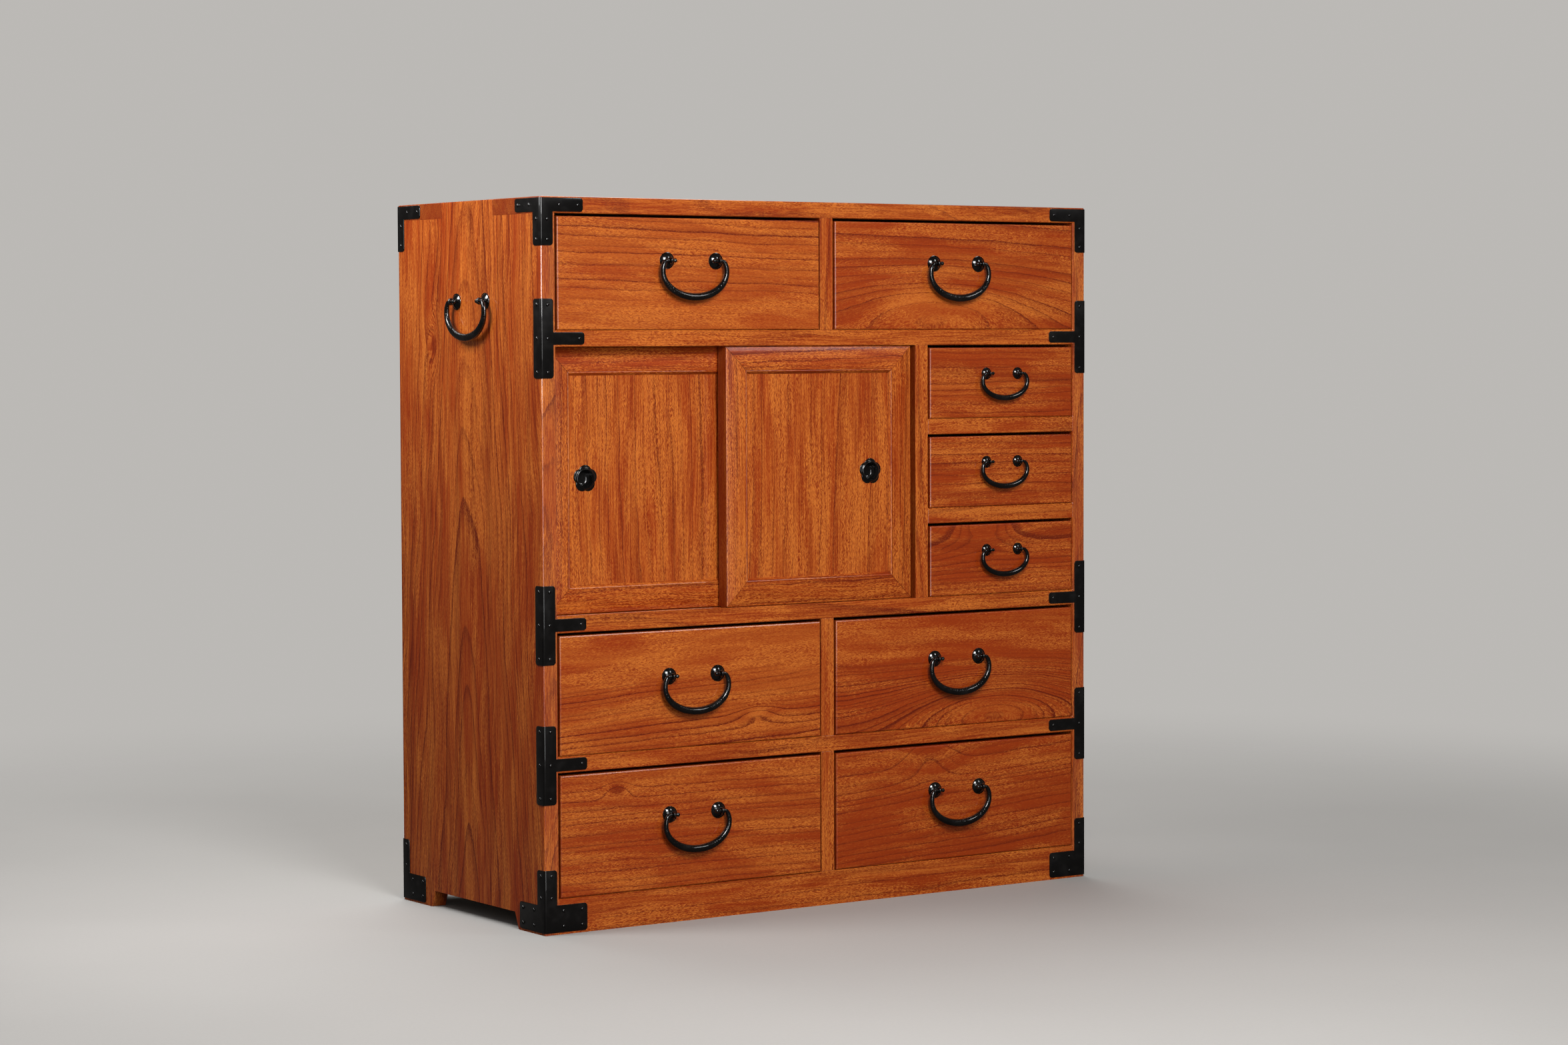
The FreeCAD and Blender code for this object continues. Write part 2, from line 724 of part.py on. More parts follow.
def blossom(grow, y):
    """Outline of the five-lobed plate, one lobe up."""
    radius = PULL_LOBE_RADIUS + grow
    notch = math.pi / PULL_LOBES
    side = PULL_LOBE_CENTRE * math.sin(notch)
    reach = PULL_LOBE_CENTRE * math.cos(notch) + math.sqrt(radius ** 2 - side ** 2)
    sweep = math.atan2(reach * math.sin(notch), reach * math.cos(notch) - PULL_LOBE_CENTRE)
    points = []
    for lobe in range(PULL_LOBES):
        axis = math.pi / 2 + 2 * notch * lobe
        for i in range(PULL_LOBE_FACETS):
            turn = axis - sweep + 2 * sweep * i / PULL_LOBE_FACETS
            x = PULL_LOBE_CENTRE * math.cos(axis) + radius * math.cos(turn)
            z = PULL_LOBE_CENTRE * math.sin(axis) + radius * math.sin(turn)
            points.append(V(x, y, z))
    return points


def finger_pull():
    """Blossom plate with a raised rim round a cup; Y = 0 is the panel's face."""
    plate = skinned([blossom(0, 0), blossom(0, -PULL_EDGE), blossom(-PULL_BEVEL, -PULL_PLATE)])
    rim = turned([(0.0, PULL_RIM_FOOT), (PULL_PLATE, PULL_RIM_FOOT), (PULL_RIM_HEIGHT, PULL_RIM_CREST)], PULL_FACETS)
    outer = PULL_CUP_RADIUS + PULL_WALL
    cup = turned([(-PULL_CUP_DEPTH - PULL_WALL, PULL_CUP_FLOOR + PULL_WALL), (0.0, outer)], PULL_FACETS)
    hollow = turned([(-PULL_CUP_DEPTH, PULL_CUP_FLOOR), (PULL_RIM_HEIGHT, PULL_CUP_RADIUS)], PULL_FACETS)
    return plate.fuse(rim).fuse(cup).cut(hollow).removeSplitter()


def door_parts(name, x, y, pull_x):
    """One sliding door: frame, panel and finger pull."""
    corner = V(x, y, DOOR_Z)
    frame = door_frame(DOOR_WIDTH, DOOR_HEIGHT)
    edge = MEMBER_FACE + MEMBER_BEVEL - PANEL_GROOVE + PANEL_FLOAT
    panel = box(edge, DOOR_WIDTH - edge, PANEL_RECESS, PANEL_RECESS + PANEL_THICK, edge, DOOR_HEIGHT - edge)
    place = V(pull_x, PANEL_RECESS, PULL_Z)
    bore = PULL_CUP_RADIUS + PULL_WALL + PULL_HOLE_GAP
    hole = turned([(-PANEL_THICK, bore), (0.0, bore)], PULL_FACETS).translated(place)
    panel = panel.cut(hole)
    return {
        name + "_frame": [piece.translated(corner) for piece in frame],
        name + "_panel": [panel.translated(corner)],
        name + "_pull": [finger_pull().translated(place + corner)],
    }


def all_doors():
    """The rear door on the left and the front door on the right."""
    parts = door_parts("door_left", LEFT_DOOR_X, REAR_DOOR_Y, LEFT_PULL_EDGE)
    parts.update(door_parts("door_right", RIGHT_DOOR_X, DOOR_INSET, DOOR_WIDTH - RIGHT_PULL_EDGE))
    return parts


# ---------------------------------------------------------------- brackets

def on_front(u, z):
    """Point on the case's front face, u from its left corner."""
    return V(-CASE_HALF + u, 0, z)


def on_side(u, z):
    """Point on the case's left face, u from its front corner."""
    return V(-CASE_HALF, u, z)


def folded(front, side, low, high):
    """Bracket of two leaves joined by a fold round the left front corner."""
    front_leaf = polygon_face(rounded_outline(front, on_front)).extrude(V(0, -PLATE, 0))
    side_leaf = polygon_face(rounded_outline(side, on_side)).extrude(V(-PLATE, 0, 0))
    middle = CORNER_ROUND - CASE_HALF
    inner = arris(middle, CORNER_ROUND, CORNER_ROUND, 2)
    outer = arris(middle, CORNER_ROUND, CORNER_ROUND + PLATE, 2)
    section = [V(x, y, low) for x, y in inner + outer[::-1]]
    fold = polygon_face(section).extrude(V(0, 0, high - low))
    return front_leaf.fuse(side_leaf).fuse(fold).removeSplitter()


def plain_leaf(low, high):
    """Upright strip beside the fold."""
    return [
        (CORNER_ROUND, low, 0),
        (LEAF_WIDTH, low, LEAF_CORNER),
        (LEAF_WIDTH, high, LEAF_CORNER),
        (CORNER_ROUND, high, 0),
    ]


def tee_bracket(z):
    """Bracket at a shelf's end: a tee on the front and a strip on the side."""
    low = z - TEE_HALF
    high = z + TEE_HALF
    arm = TEE_ARM_WIDTH / 2
    front = [
        (CORNER_ROUND, low, 0),
        (LEAF_WIDTH, low, LEAF_CORNER),
        (LEAF_WIDTH, z - arm, 0),
        (TEE_ARM, z - arm, LEAF_CORNER),
        (TEE_ARM, z + arm, LEAF_CORNER),
        (LEAF_WIDTH, z + arm, 0),
        (LEAF_WIDTH, high, LEAF_CORNER),
        (CORNER_ROUND, high, 0),
    ]
    return folded(front, plain_leaf(low, high), low, high)


def top_bracket():
    """Bracket at a top corner, an L on both faces."""
    low = CASE_HEIGHT - TOP_LEG
    high = CASE_HEIGHT - CORNER_ROUND
    leaf = [
        (CORNER_ROUND, low, 0),
        (LEAF_WIDTH, low, LEAF_CORNER),
        (LEAF_WIDTH, high - TOP_ARM_WIDTH, 0),
        (TOP_ARM, high - TOP_ARM_WIDTH, LEAF_CORNER),
        (TOP_ARM, high, LEAF_CORNER),
        (CORNER_ROUND, high, 0),
    ]
    return folded(leaf, leaf, low, high)


def foot_bracket():
    """Bracket at a bottom corner: a foot plate and a leg on both faces."""
    low = FOOT_PLATE_LIFT
    leaf = [
        (CORNER_ROUND, low, 0),
        (FOOT_ARM, low, LEAF_CORNER),
        (FOOT_ARM, FOOT_PLATE_TOP, LEAF_CORNER),
        (LEAF_WIDTH, FOOT_PLATE_TOP, 0),
        (LEAF_WIDTH, FOOT_LEG, LEAF_CORNER),
        (CORNER_ROUND, FOOT_LEG, 0),
    ]
    return folded(leaf, leaf, low, FOOT_LEG)


def all_corners(pieces):
    """The pieces of the left front corner, repeated at all four corners."""
    left = pieces + [mirrored_in_depth(piece) for piece in pieces]
    return left + [mirrored(piece) for piece in left]


def nail(place, u, z, outward):
    """Dome-headed nail on a bracket's leaf."""
    head = turned([(PLATE, NAIL_RADIUS), (PLATE + NAIL_HEIGHT, NAIL_CROWN)], NAIL_FACETS)
    if abs(outward.x) > 0.5:
        head = head.rotated(V(0, 0, 0), V(0, 0, 1), -90)
    return head.translated(place(u, z))


def nails(front, side):
    """Nails on the two leaves of the left front corner."""
    heads = [nail(on_front, u, z, V(0, -1, 0)) for u, z in front]
    return heads + [nail(on_side, u, z, V(-1, 0, 0)) for u, z in side]


def tee_nails(z):
    """Nails of one tee bracket."""
    rise = TEE_HALF - NAIL_EDGE
    strip = [(NAIL_MIDDLE, z - rise), (NAIL_MIDDLE, z), (NAIL_MIDDLE, z + rise)]
    return nails(strip + [(TEE_ARM - NAIL_EDGE, z)], strip)


def top_nails():
    """Nails of the left front top bracket."""
    row = CASE_HEIGHT - CORNER_ROUND - TOP_ARM_WIDTH / 2
    low = CASE_HEIGHT - TOP_LEG + NAIL_EDGE
    step = TOP_LEG - TOP_ARM_WIDTH - TOP_NAIL_STEP
    leaf = [
        (NAIL_SECOND, row),
        (TOP_ARM - NAIL_EDGE, row),
        (NAIL_MIDDLE, low + step),
        (NAIL_MIDDLE, low),
    ]
    return nails(leaf, leaf)


def foot_nails():
    """Nails of the left front foot bracket."""
    low = FOOT_PLATE_LIFT + NAIL_EDGE
    high = FOOT_PLATE_TOP - NAIL_EDGE
    top = FOOT_LEG - NAIL_EDGE
    outer = FOOT_ARM - NAIL_EDGE
    leaf = [
        (NAIL_SECOND, low),
        (NAIL_SECOND, high),
        (outer, low),
        (outer, high),
        (NAIL_MIDDLE, top - FOOT_NAIL_STEP),
        (NAIL_MIDDLE, top),
    ]
    return nails(leaf, leaf)


def bracket_parts():
    """Brackets and their nails on all the case's corners."""
    heights = [z + SHELF_THICK / 2 for z in (SHELF_1_Z, SHELF_2_Z, SHELF_3_Z)]
    tees = [tee_bracket(z) for z in heights]
    tee_heads = [head for z in heights for head in tee_nails(z)]
    return {
        "corner_brackets": all_corners([top_bracket(), foot_bracket()]),
        "tee_brackets": tees + [mirrored(tee) for tee in tees],
        "bracket_nails": all_corners(top_nails() + foot_nails())
        + tee_heads + [mirrored(head) for head in tee_heads],
    }


# ---------------------------------------------------------------- output

def export(parts):
    """Write every node to its own file, moved into the chest's frame."""
    os.makedirs("parts", exist_ok=True)
    for name, solids in parts.items():
        shape = solids[0] if len(solids) == 1 else Part.makeCompound(solids)
        shape.translated(FRAME_SHIFT).exportStep("parts/%s.step" % name)


def main():
    """Build the whole chest."""
    parts = case_parts()
    parts.update(side_handle_parts())
    parts.update(all_drawers())
    parts.update(all_doors())
    parts.update(bracket_parts())
    export(parts)


main()
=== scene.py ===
import math
from types import SimpleNamespace

import bmesh
import bpy
from mathutils import Matrix, Vector, noise


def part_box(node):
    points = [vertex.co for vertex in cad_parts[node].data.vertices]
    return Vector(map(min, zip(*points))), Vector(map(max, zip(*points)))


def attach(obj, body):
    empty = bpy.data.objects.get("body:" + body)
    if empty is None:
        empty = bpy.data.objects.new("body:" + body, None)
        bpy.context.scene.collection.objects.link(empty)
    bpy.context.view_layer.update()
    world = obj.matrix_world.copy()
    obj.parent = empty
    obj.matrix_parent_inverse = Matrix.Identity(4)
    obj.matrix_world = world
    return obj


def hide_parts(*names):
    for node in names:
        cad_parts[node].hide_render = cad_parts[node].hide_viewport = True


bl_info = {
    "name": "Small Tansu Chest",
    "version": (1, 0, 0),
    "blender": (4, 5, 0),
    "location": "View3D > Sidebar > Tansu",
    "description": "Dresses the joined case, drawers, sliding doors and ironwork of a small tansu chest",
    "category": "Object",
}

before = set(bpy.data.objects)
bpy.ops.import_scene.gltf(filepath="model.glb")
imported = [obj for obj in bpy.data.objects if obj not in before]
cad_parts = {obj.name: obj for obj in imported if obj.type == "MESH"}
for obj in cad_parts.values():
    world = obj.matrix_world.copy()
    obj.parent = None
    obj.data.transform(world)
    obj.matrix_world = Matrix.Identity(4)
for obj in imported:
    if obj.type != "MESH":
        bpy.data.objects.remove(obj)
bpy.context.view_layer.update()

MM = 0.001
QUARTER = math.pi / 2
AXES = {"X": Vector((1, 0, 0)), "Y": Vector((0, 1, 0)), "Z": Vector((0, 0, 1))}
SHELVES = ("shelf_upper", "shelf_middle", "shelf_lower")
DIVIDERS = ("centre_dividers", "cabinet_divider", "small_shelves")
CASE_BOARDS = ("side_left", "side_right", "top_board", "base_rail", *SHELVES, *DIVIDERS)
DRAWER_PAIRS = [f"drawer_{row}_{side}" for row in ("top", "lower", "bottom") for side in ("left", "right")]
DRAWERS = (*DRAWER_PAIRS, "drawer_small_1", "drawer_small_2", "drawer_small_3")
DOORS = ("door_left", "door_right")

# Forged handles in millimetres, as the solids have them
LARGE = SimpleNamespace(
    spacing=64.0, width=90.0, drop=45.0, shoulder=12.0, belly=4.8, flank=3.1,
    pin=1.92, ball=2.5, rosette=9.3, dome=4.0, eye=3.4, standoff=7.6,
)
SMALL = SimpleNamespace(
    spacing=46.0, width=71.0, drop=32.5, shoulder=9.5, belly=3.6, flank=2.6,
    pin=1.62, ball=2.1, rosette=7.0, dome=3.4, eye=2.9, standoff=6.4,
)
EYE_CLEARANCE = 0.5
BAIL_DEPTH = 0.92
ARC_SPANS = 16
SHOULDER_SPANS = 8
BALL_SPANS = 5
BAIL_SIDES = 16
ROSETTE_RIM = 0.9
EYE_WIRE = 0.30
DOME_SPANS = 8
SHANK = 3.2
LEG_THICK = 1.2
LEG_LENGTH = 9.0
FRONT_WOOD = 18.0

# Ironwork on the corners
CORNER_ROUND = 1.5
HALF_FOLD = math.pi / 4 * CORNER_ROUND
LEAF_WIDTH = 15.0
LEAF_CORNER = 3.5
TEE_HALF = 43.0
TEE_ARM = 54.0
TEE_ARM_WIDTH = 13.5
TOP_ARM = 53.0
TOP_ARM_WIDTH = 15.0
TOP_LEG = 53.0
FOOT_LEG = 71.0
FOOT_ARM = 53.0
FOOT_PLATE_TOP = 32.3
FOOT_PLATE_LIFT = 2.5
FOLD_SPANS = 6
NAIL_EDGE = 6.5
NAIL_MIDDLE = 7.8
NAIL_SECOND = 23.0
TOP_NAIL_STEP = 16.0
FOOT_NAIL_STEP = 24.0

# Sliding doors
MEMBER_FACE = 28.0
MEMBER_INNER = 31.0
PANEL_RECESS = 3.5
PANEL_THICK = 8.0
PANEL_GROOVE = 5.0
DOOR_THICK = 16.0
DOOR_TONGUE = 8.0
TONGUE_INSET = 4.0
TONGUE_LOW = 3.2
TONGUE_HIGH = 5.5
DOOR_ARRIS = 1.5
QUIRK = 0.7
MITRE_GAP = 0.25
DOOR_COAT = 0.25

# Plum-blossom finger pulls
PULL_LOBES = 5
PULL_LOBE_RADIUS = 8.5
PULL_LOBE_CENTRE = 6.5
PULL_SIDES = 80


# ---- Boards

def sawn(along, across, heart, depth, spacing, shaded=None, **more):
    """How one board was sawn: the way its grain runs, and its values for the group of sawn boards."""
    values = {
        "heart": heart,
        "depth": depth,
        "spacing": spacing,
        # Axes whose faces darken: the grain's own axis for end grain that took more stain, any other axis as
        # painted shade in the gaps beside the part
        "shaded": sum((AXES[axis] for axis in shaded or along), Vector()),
        "slant": 0.0,
        "taper": 0.03,
        "wave": 7.0,
        "knot": (0.0, 900.0, 1.0),
        "swell": (0.5, 2.4, 0.5),
        "calm": (0.0, 1.0, 0.0),
        "lines": 0.55,
        "streaks": 0.25,
        "fibre": 0.5,
        "threads": 0.12,
        "tone": 0.0,
        # Share of the painted pale sheen on the faces towards the front
        "edge": 0.0,
    }
    return along, across, {**values, **more}


def drawer_front(heart, depth, spacing, **more):
    """Board of a drawer front: its end grain took more stain, and its top and bottom edges are darkened as painted
    shade for the gaps round the drawer.
    """
    return sawn("X", "Z", heart, depth, spacing, "XZ", **more)


BOARDS = {
    # edge paints a pale sheen on the side boards' front faces
    "side_left": sawn(
        "Z", "Y", 6.0, 30.0, 9.0, taper=0.10, wave=16.0, knot=(240.0, 78.0, 9.0),
        lines=0.6, streaks=0.3, fibre=0.38, threads=0.45, tone=0.1, edge=0.06,
    ),
    "side_right": sawn(
        "Z", "Y", -30.0, 26.0, 10.0, taper=0.09, wave=15.0, knot=(-120.0, -60.0, 8.0),
        lines=0.5, streaks=0.35, fibre=0.6, threads=0.45, edge=0.06,
    ),
    "top_board": sawn(
        "X", "Y", 20.0, 34.0, 11.0, taper=0.08, wave=14.0, lines=0.35, streaks=0.15, threads=0.4, tone=0.4,
    ),
    "bottom_board": sawn("X", "Y", -40.0, 30.0, 12.0),
    "base_rail": sawn(
        "X", "Z", 60.0, 40.0, 9.0, slant=0.015, lines=0.5, streaks=0.3, fibre=0.7, threads=0.35, tone=-0.05,
    ),
    "shelf_upper": sawn(
        "X", "Z", 55.0, 60.0, 8.0, lines=0.35, streaks=0.2, fibre=0.8, threads=0.45, tone=0.85,
    ),
    "shelf_middle": sawn(
        "X", "Z", -48.0, 50.0, 9.0, lines=0.6, streaks=0.3, fibre=0.8, threads=0.45, tone=0.4,
    ),
    "shelf_lower": sawn(
        "X", "Z", 70.0, 44.0, 10.0, lines=0.45, streaks=0.3, fibre=0.7, threads=0.35, tone=0.25,
    ),
    # The dividers' side faces, seen in the gaps beside the drawers, are darkened as painted shade
    "centre_dividers": sawn("Z", "X", 45.0, 50.0, 6.0, "XZ", lines=0.45, fibre=0.7, threads=0.35, tone=0.1),
    "cabinet_divider": sawn("Z", "X", -40.0, 60.0, 6.0, "XZ", lines=0.45, fibre=0.7, threads=0.35, tone=0.1),
    "small_shelves": sawn("X", "Z", 50.0, 55.0, 7.0, lines=0.35, fibre=0.6, threads=0.25),
    "back_boards": sawn("Z", "X", 10.0, 35.0, 13.0, taper=0.09, wave=14.0, lines=0.4),
    "drawer_top_left_front": drawer_front(
        190.0, 40.0, 9.0, slant=0.05, wave=5.0, calm=(0.016, 0.85, 0.0), lines=0.8, streaks=0.1, tone=0.45,
    ),
    "drawer_top_right_front": drawer_front(
        -200.0, 30.0, 14.0, slant=0.01, wave=4.0, knot=(-26.0, -36.0, 30.0), swell=(0.27, -2.1, -0.3),
        lines=0.7, streaks=0.12, tone=-0.1,
    ),
    "drawer_lower_left_front": drawer_front(
        150.0, 30.0, 6.5, slant=-0.02, wave=4.0, knot=(86.0, -34.0, 8.0), swell=(0.42, 1.5, -0.3),
        calm=(-0.03, 0.75, 0.0), lines=0.95, streaks=0.08, tone=0.2,
    ),
    "drawer_lower_right_front": drawer_front(
        -160.0, 30.0, 6.0, slant=0.03, wave=3.0, knot=(62.0, -46.0, 30.0), swell=(0.3, -2.6, -0.15),
        calm=(-0.035, 0.75, 0.0), lines=0.95, streaks=0.15, tone=-0.3,
    ),
    "drawer_bottom_left_front": drawer_front(
        170.0, 30.0, 6.5, slant=0.04, wave=3.0, knot=(-100.0, 47.0, 8.0), swell=(0.6, 1.6, 0.45),
        streaks=0.08, tone=-0.05,
    ),
    "drawer_bottom_right_front": drawer_front(
        150.0, 36.0, 8.0, slant=-0.03, wave=5.0, knot=(-40.0, 62.0, 22.0), swell=(0.8, 1.2, 0.1),
        streaks=0.15, tone=-0.35,
    ),
    "drawer_small_1_front": drawer_front(
        130.0, 24.0, 6.0, wave=4.0, knot=(-30.0, 60.0, 26.0), swell=(0.6, 1.8, 0.1),
        lines=0.6, streaks=0.2, threads=0.2, tone=-0.45,
    ),
    "drawer_small_2_front": drawer_front(
        -120.0, 26.0, 8.0, slant=-0.01, wave=3.0, lines=0.6, streaks=0.2, threads=0.25, tone=-0.25,
    ),
    "drawer_small_3_front": drawer_front(
        150.0, 24.0, 9.0, slant=0.02, wave=5.0, lines=0.5, streaks=0.2, threads=0.25, tone=-0.3,
    ),
    "door_left_panel": sawn(
        "Z", "X", -160.0, 20.0, 15.0, lines=0.5, streaks=0.14, fibre=0.6, threads=0.45, tone=0.35,
    ),
    "door_right_panel": sawn(
        "Z", "X", 140.0, 20.0, 17.0, wave=8.0, lines=0.5, streaks=0.14, fibre=0.7, threads=0.45, tone=0.25,
    ),
}
DOOR_RAIL = sawn(
    "X", "Z", 190.0, 40.0, 6.0, slant=0.02, wave=4.0, lines=0.6, streaks=0.3, fibre=0.75, threads=0.45, tone=-0.3,
)
# The stiles' outer edge faces are darkened as painted shade
DOOR_STILE = sawn(
    "Z", "X", 190.0, 40.0, 8.0, "X", slant=0.01, wave=4.0, lines=0.45, streaks=0.3, fibre=0.75, threads=0.45,
)
DRAWER_BOX = sawn("Y", "Z", 60.0, 40.0, 9.0, wave=5.0, lines=0.4, streaks=0.1)


# ---- Settings

def tint(name, description, default):
    """Setting for a colour."""
    return bpy.props.FloatVectorProperty(
        name=name, description=description, default=default, min=0.0, max=1.0, subtype="COLOR",
    )


def measure(name, description, default, least, most):
    """Setting for a length in metres."""
    return bpy.props.FloatProperty(
        name=name, description=description, default=default, min=least, max=most, subtype="DISTANCE",
    )


def wattage(name, description, default):
    """Setting for the power of a lamp."""
    return bpy.props.FloatProperty(name=name, description=description, default=default, min=0.0, subtype="POWER")


class TansuWood(bpy.types.PropertyGroup):
    """Colours and finish of the boards."""

    light: tint("Light wood", "Palest early wood under the lacquer", (0.64, 0.170, 0.024))
    body: tint("Body", "Main colour of the lacquered boards", (0.355, 0.042, 0.0032))
    dark: tint("Dark grain", "Late wood, pores and end grain", (0.150, 0.0125, 0.0016))
    plain_light: tint("Plain light wood", "Palest wood of the unstained boards", (0.66, 0.46, 0.26))
    plain_body: tint("Plain body", "Main colour of drawer boxes and back boards", (0.56, 0.355, 0.18))
    plain_dark: tint("Plain dark grain", "Grain lines of the unstained boards", (0.31, 0.17, 0.075))
    arris: measure("Softened arris", "Width of the softened edges of the boards", 0.0004, 0.0, 0.002)


class TansuIron(bpy.types.PropertyGroup):
    """Sizes and colour of the ironwork."""

    colour: tint("Black iron", "Colour of the painted iron", (0.0032, 0.0027, 0.0025))
    plate: measure("Plate", "Thickness of the folded corner brackets", 0.001, 0.0003, 0.002)
    nail_radius: measure("Nail head", "Radius of the dome-headed nails", 0.0021, 0.001, 0.004)
    nail_height: measure("Nail height", "Height of a nail's dome above the plate", 0.00115, 0.0003, 0.0012)
    dents: measure("Hammer dents", "Depth of the hammer marks along the large bails", 0.00035, 0.0, 0.001)


class TansuStudio(bpy.types.PropertyGroup):
    """Camera, lamps and floor."""

    floor: tint("Floor", "Colour of the pale floor", (0.50, 0.485, 0.465))
    backdrop: tint("Backdrop", "Colour of the surroundings behind the floor's edge", (0.50, 0.485, 0.465))
    bounce: bpy.props.FloatProperty(
        name="Floor bounce",
        description="Share of the floor's colour that it throws back on the chest",
        default=0.24,
        min=0.0,
        max=1.0,
    )
    key: wattage("Key lamp", "Power of the lamp before the front", 25.0)
    side: wattage("Side lamp", "Power of the lamp beside the left front corner", 6.5)
    edge: wattage("Edge lamp", "Power of the low lamp that draws the arrises", 13.0)
    sheen: wattage("Sheen lamp", "Power of the high lamp on the right that the ironwork mirrors", 9.0)
    back: wattage("Back lamp", "Power of the large lamp over the floor behind the chest", 60.0)
    fill: wattage("Fill lamp", "Power of the broad lamp by the camera", 14.0)
    sky: bpy.props.FloatProperty(
        name="Surroundings",
        description="Strength of the even light from all sides",
        default=0.13,
        min=0.0,
    )
    lens: bpy.props.FloatProperty(
        name="Lens",
        description="Focal length of the camera in millimetres",
        default=82.465,
        min=20.0,
        max=300.0,
    )


# ---- Node graphs

class Value:
    """Output of a node; arithmetic with it makes more nodes."""

    def __init__(self, graph, socket):
        self.graph = graph
        self.socket = socket

    def __add__(self, other):
        return self.graph.sum("ADD", self, other)

    def __sub__(self, other):
        return self.graph.sum("SUBTRACT", self, other)

    def __rsub__(self, other):
        return self.graph.sum("SUBTRACT", other, self)

    def __mul__(self, other):
        return self.graph.sum("MULTIPLY", self, other)

    def __truediv__(self, other):
        return self.graph.sum("DIVIDE", self, other)

    def clamped(self):
        """The same value, kept between nought and one."""
        self.socket.node.use_clamp = True
        return self


class Graph:
    """Short hand for adding and joining the nodes of a group, or of a material or world."""

    def __init__(self, owner):
        if isinstance(owner, bpy.types.NodeTree):
            self.tree = owner
        else:
            owner.use_nodes = True
            self.tree = owner.node_tree
            self.tree.nodes.clear()
        self.column = 0

    def add(self, kind, inputs=(), **settings):
        """New node with its settings and inputs, set down beside the last one."""
        node = self.tree.nodes.new(kind)
        node.location = (180 * (self.column % 12), -260 * (self.column // 12))
        self.column += 1
        for name, value in settings.items():
            setattr(node, name, value)
        for name, value in dict(inputs).items():
            self.feed(node.inputs[name], value)
        return node

    def feed(self, socket, value):
        """Link an output to a socket, or write a plain value into it."""
        if isinstance(value, Value):
            value = value.socket
        if isinstance(value, bpy.types.NodeSocket):
            self.tree.links.new(value, socket)
        else:
            socket.default_value = value

    def sum(self, operation, *values):
        """Result of one arithmetic step."""
        return Value(self, self.add("ShaderNodeMath", enumerate(values), operation=operation).outputs[0])

    def vector(self, operation, *values):
        """Result of one vector step."""
        node = self.add("ShaderNodeVectorMath", enumerate(values), operation=operation)
        return Value(self, node.outputs["Value" if operation in ("DOT_PRODUCT", "LENGTH") else "Vector"])

    def pack(self, *values):
        """Vector from three numbers."""
        return Value(self, self.add("ShaderNodeCombineXYZ", enumerate(values)).outputs[0])

    def split(self, vector):
        """The three numbers of a vector."""
        return [Value(self, output) for output in self.add("ShaderNodeSeparateXYZ", {0: vector}).outputs]

    def cloud(self, vector, size, detail=2.0, roughness=0.5, output="Fac"):
        """Noise whose lumps have this size along the three axes."""
        scaled = self.vector("MULTIPLY", vector, tuple(1.0 / s for s in size))
        inputs = {"Vector": scaled, "Scale": 1.0, "Detail": detail, "Roughness": roughness}
        return Value(self, self.add("ShaderNodeTexNoise", inputs).outputs[output])

    def ramp(self, value, low, high, bottom=0.0, top=1.0):
        """Smooth step of a value between two limits."""
        inputs = {"Value": value, "From Min": low, "From Max": high, "To Min": bottom, "To Max": top}
        return Value(self, self.add("ShaderNodeMapRange", inputs, interpolation_type="SMOOTHSTEP").outputs[0])

    def patches(self, vector, size, detail, low, high):
        """Smooth patches where a cloud rises through two limits."""
        return self.ramp(self.cloud(vector, size, detail), low, high)

    def blend(self, share, first, second):
        """Colour between two colours."""
        return self.add("ShaderNodeMix", {"Factor": share, 6: first, 7: second}, data_type="RGBA").outputs[2]

    def facing(self):
        """Direction in which the surface of the object faces."""
        return self.add("ShaderNodeTexCoord").outputs["Normal"]

    def place(self):
        """Place on the object."""
        return self.add("ShaderNodeTexCoord").outputs["Object"]


def surface_group(name, **inputs):
    """Empty group for a surface, with inputs of every kind; returns its graph and its inputs by name."""
    tree = bpy.data.node_groups.new(name, "ShaderNodeTree")
    graph = Graph(tree)
    for kind, labels in inputs.items():
        for label in labels.split():
            tree.interface.new_socket(name=label, in_out="INPUT", socket_type="NodeSocket" + kind)
    for label, kind in (("colour", "Color"), ("roughness", "Float"), ("height", "Float")):
        tree.interface.new_socket(name=label, in_out="OUTPUT", socket_type="NodeSocket" + kind)
    inner = graph.add("NodeGroupInput")
    given = SimpleNamespace(**{output.name: Value(graph, output) for output in inner.outputs if output.name})
    return graph, given


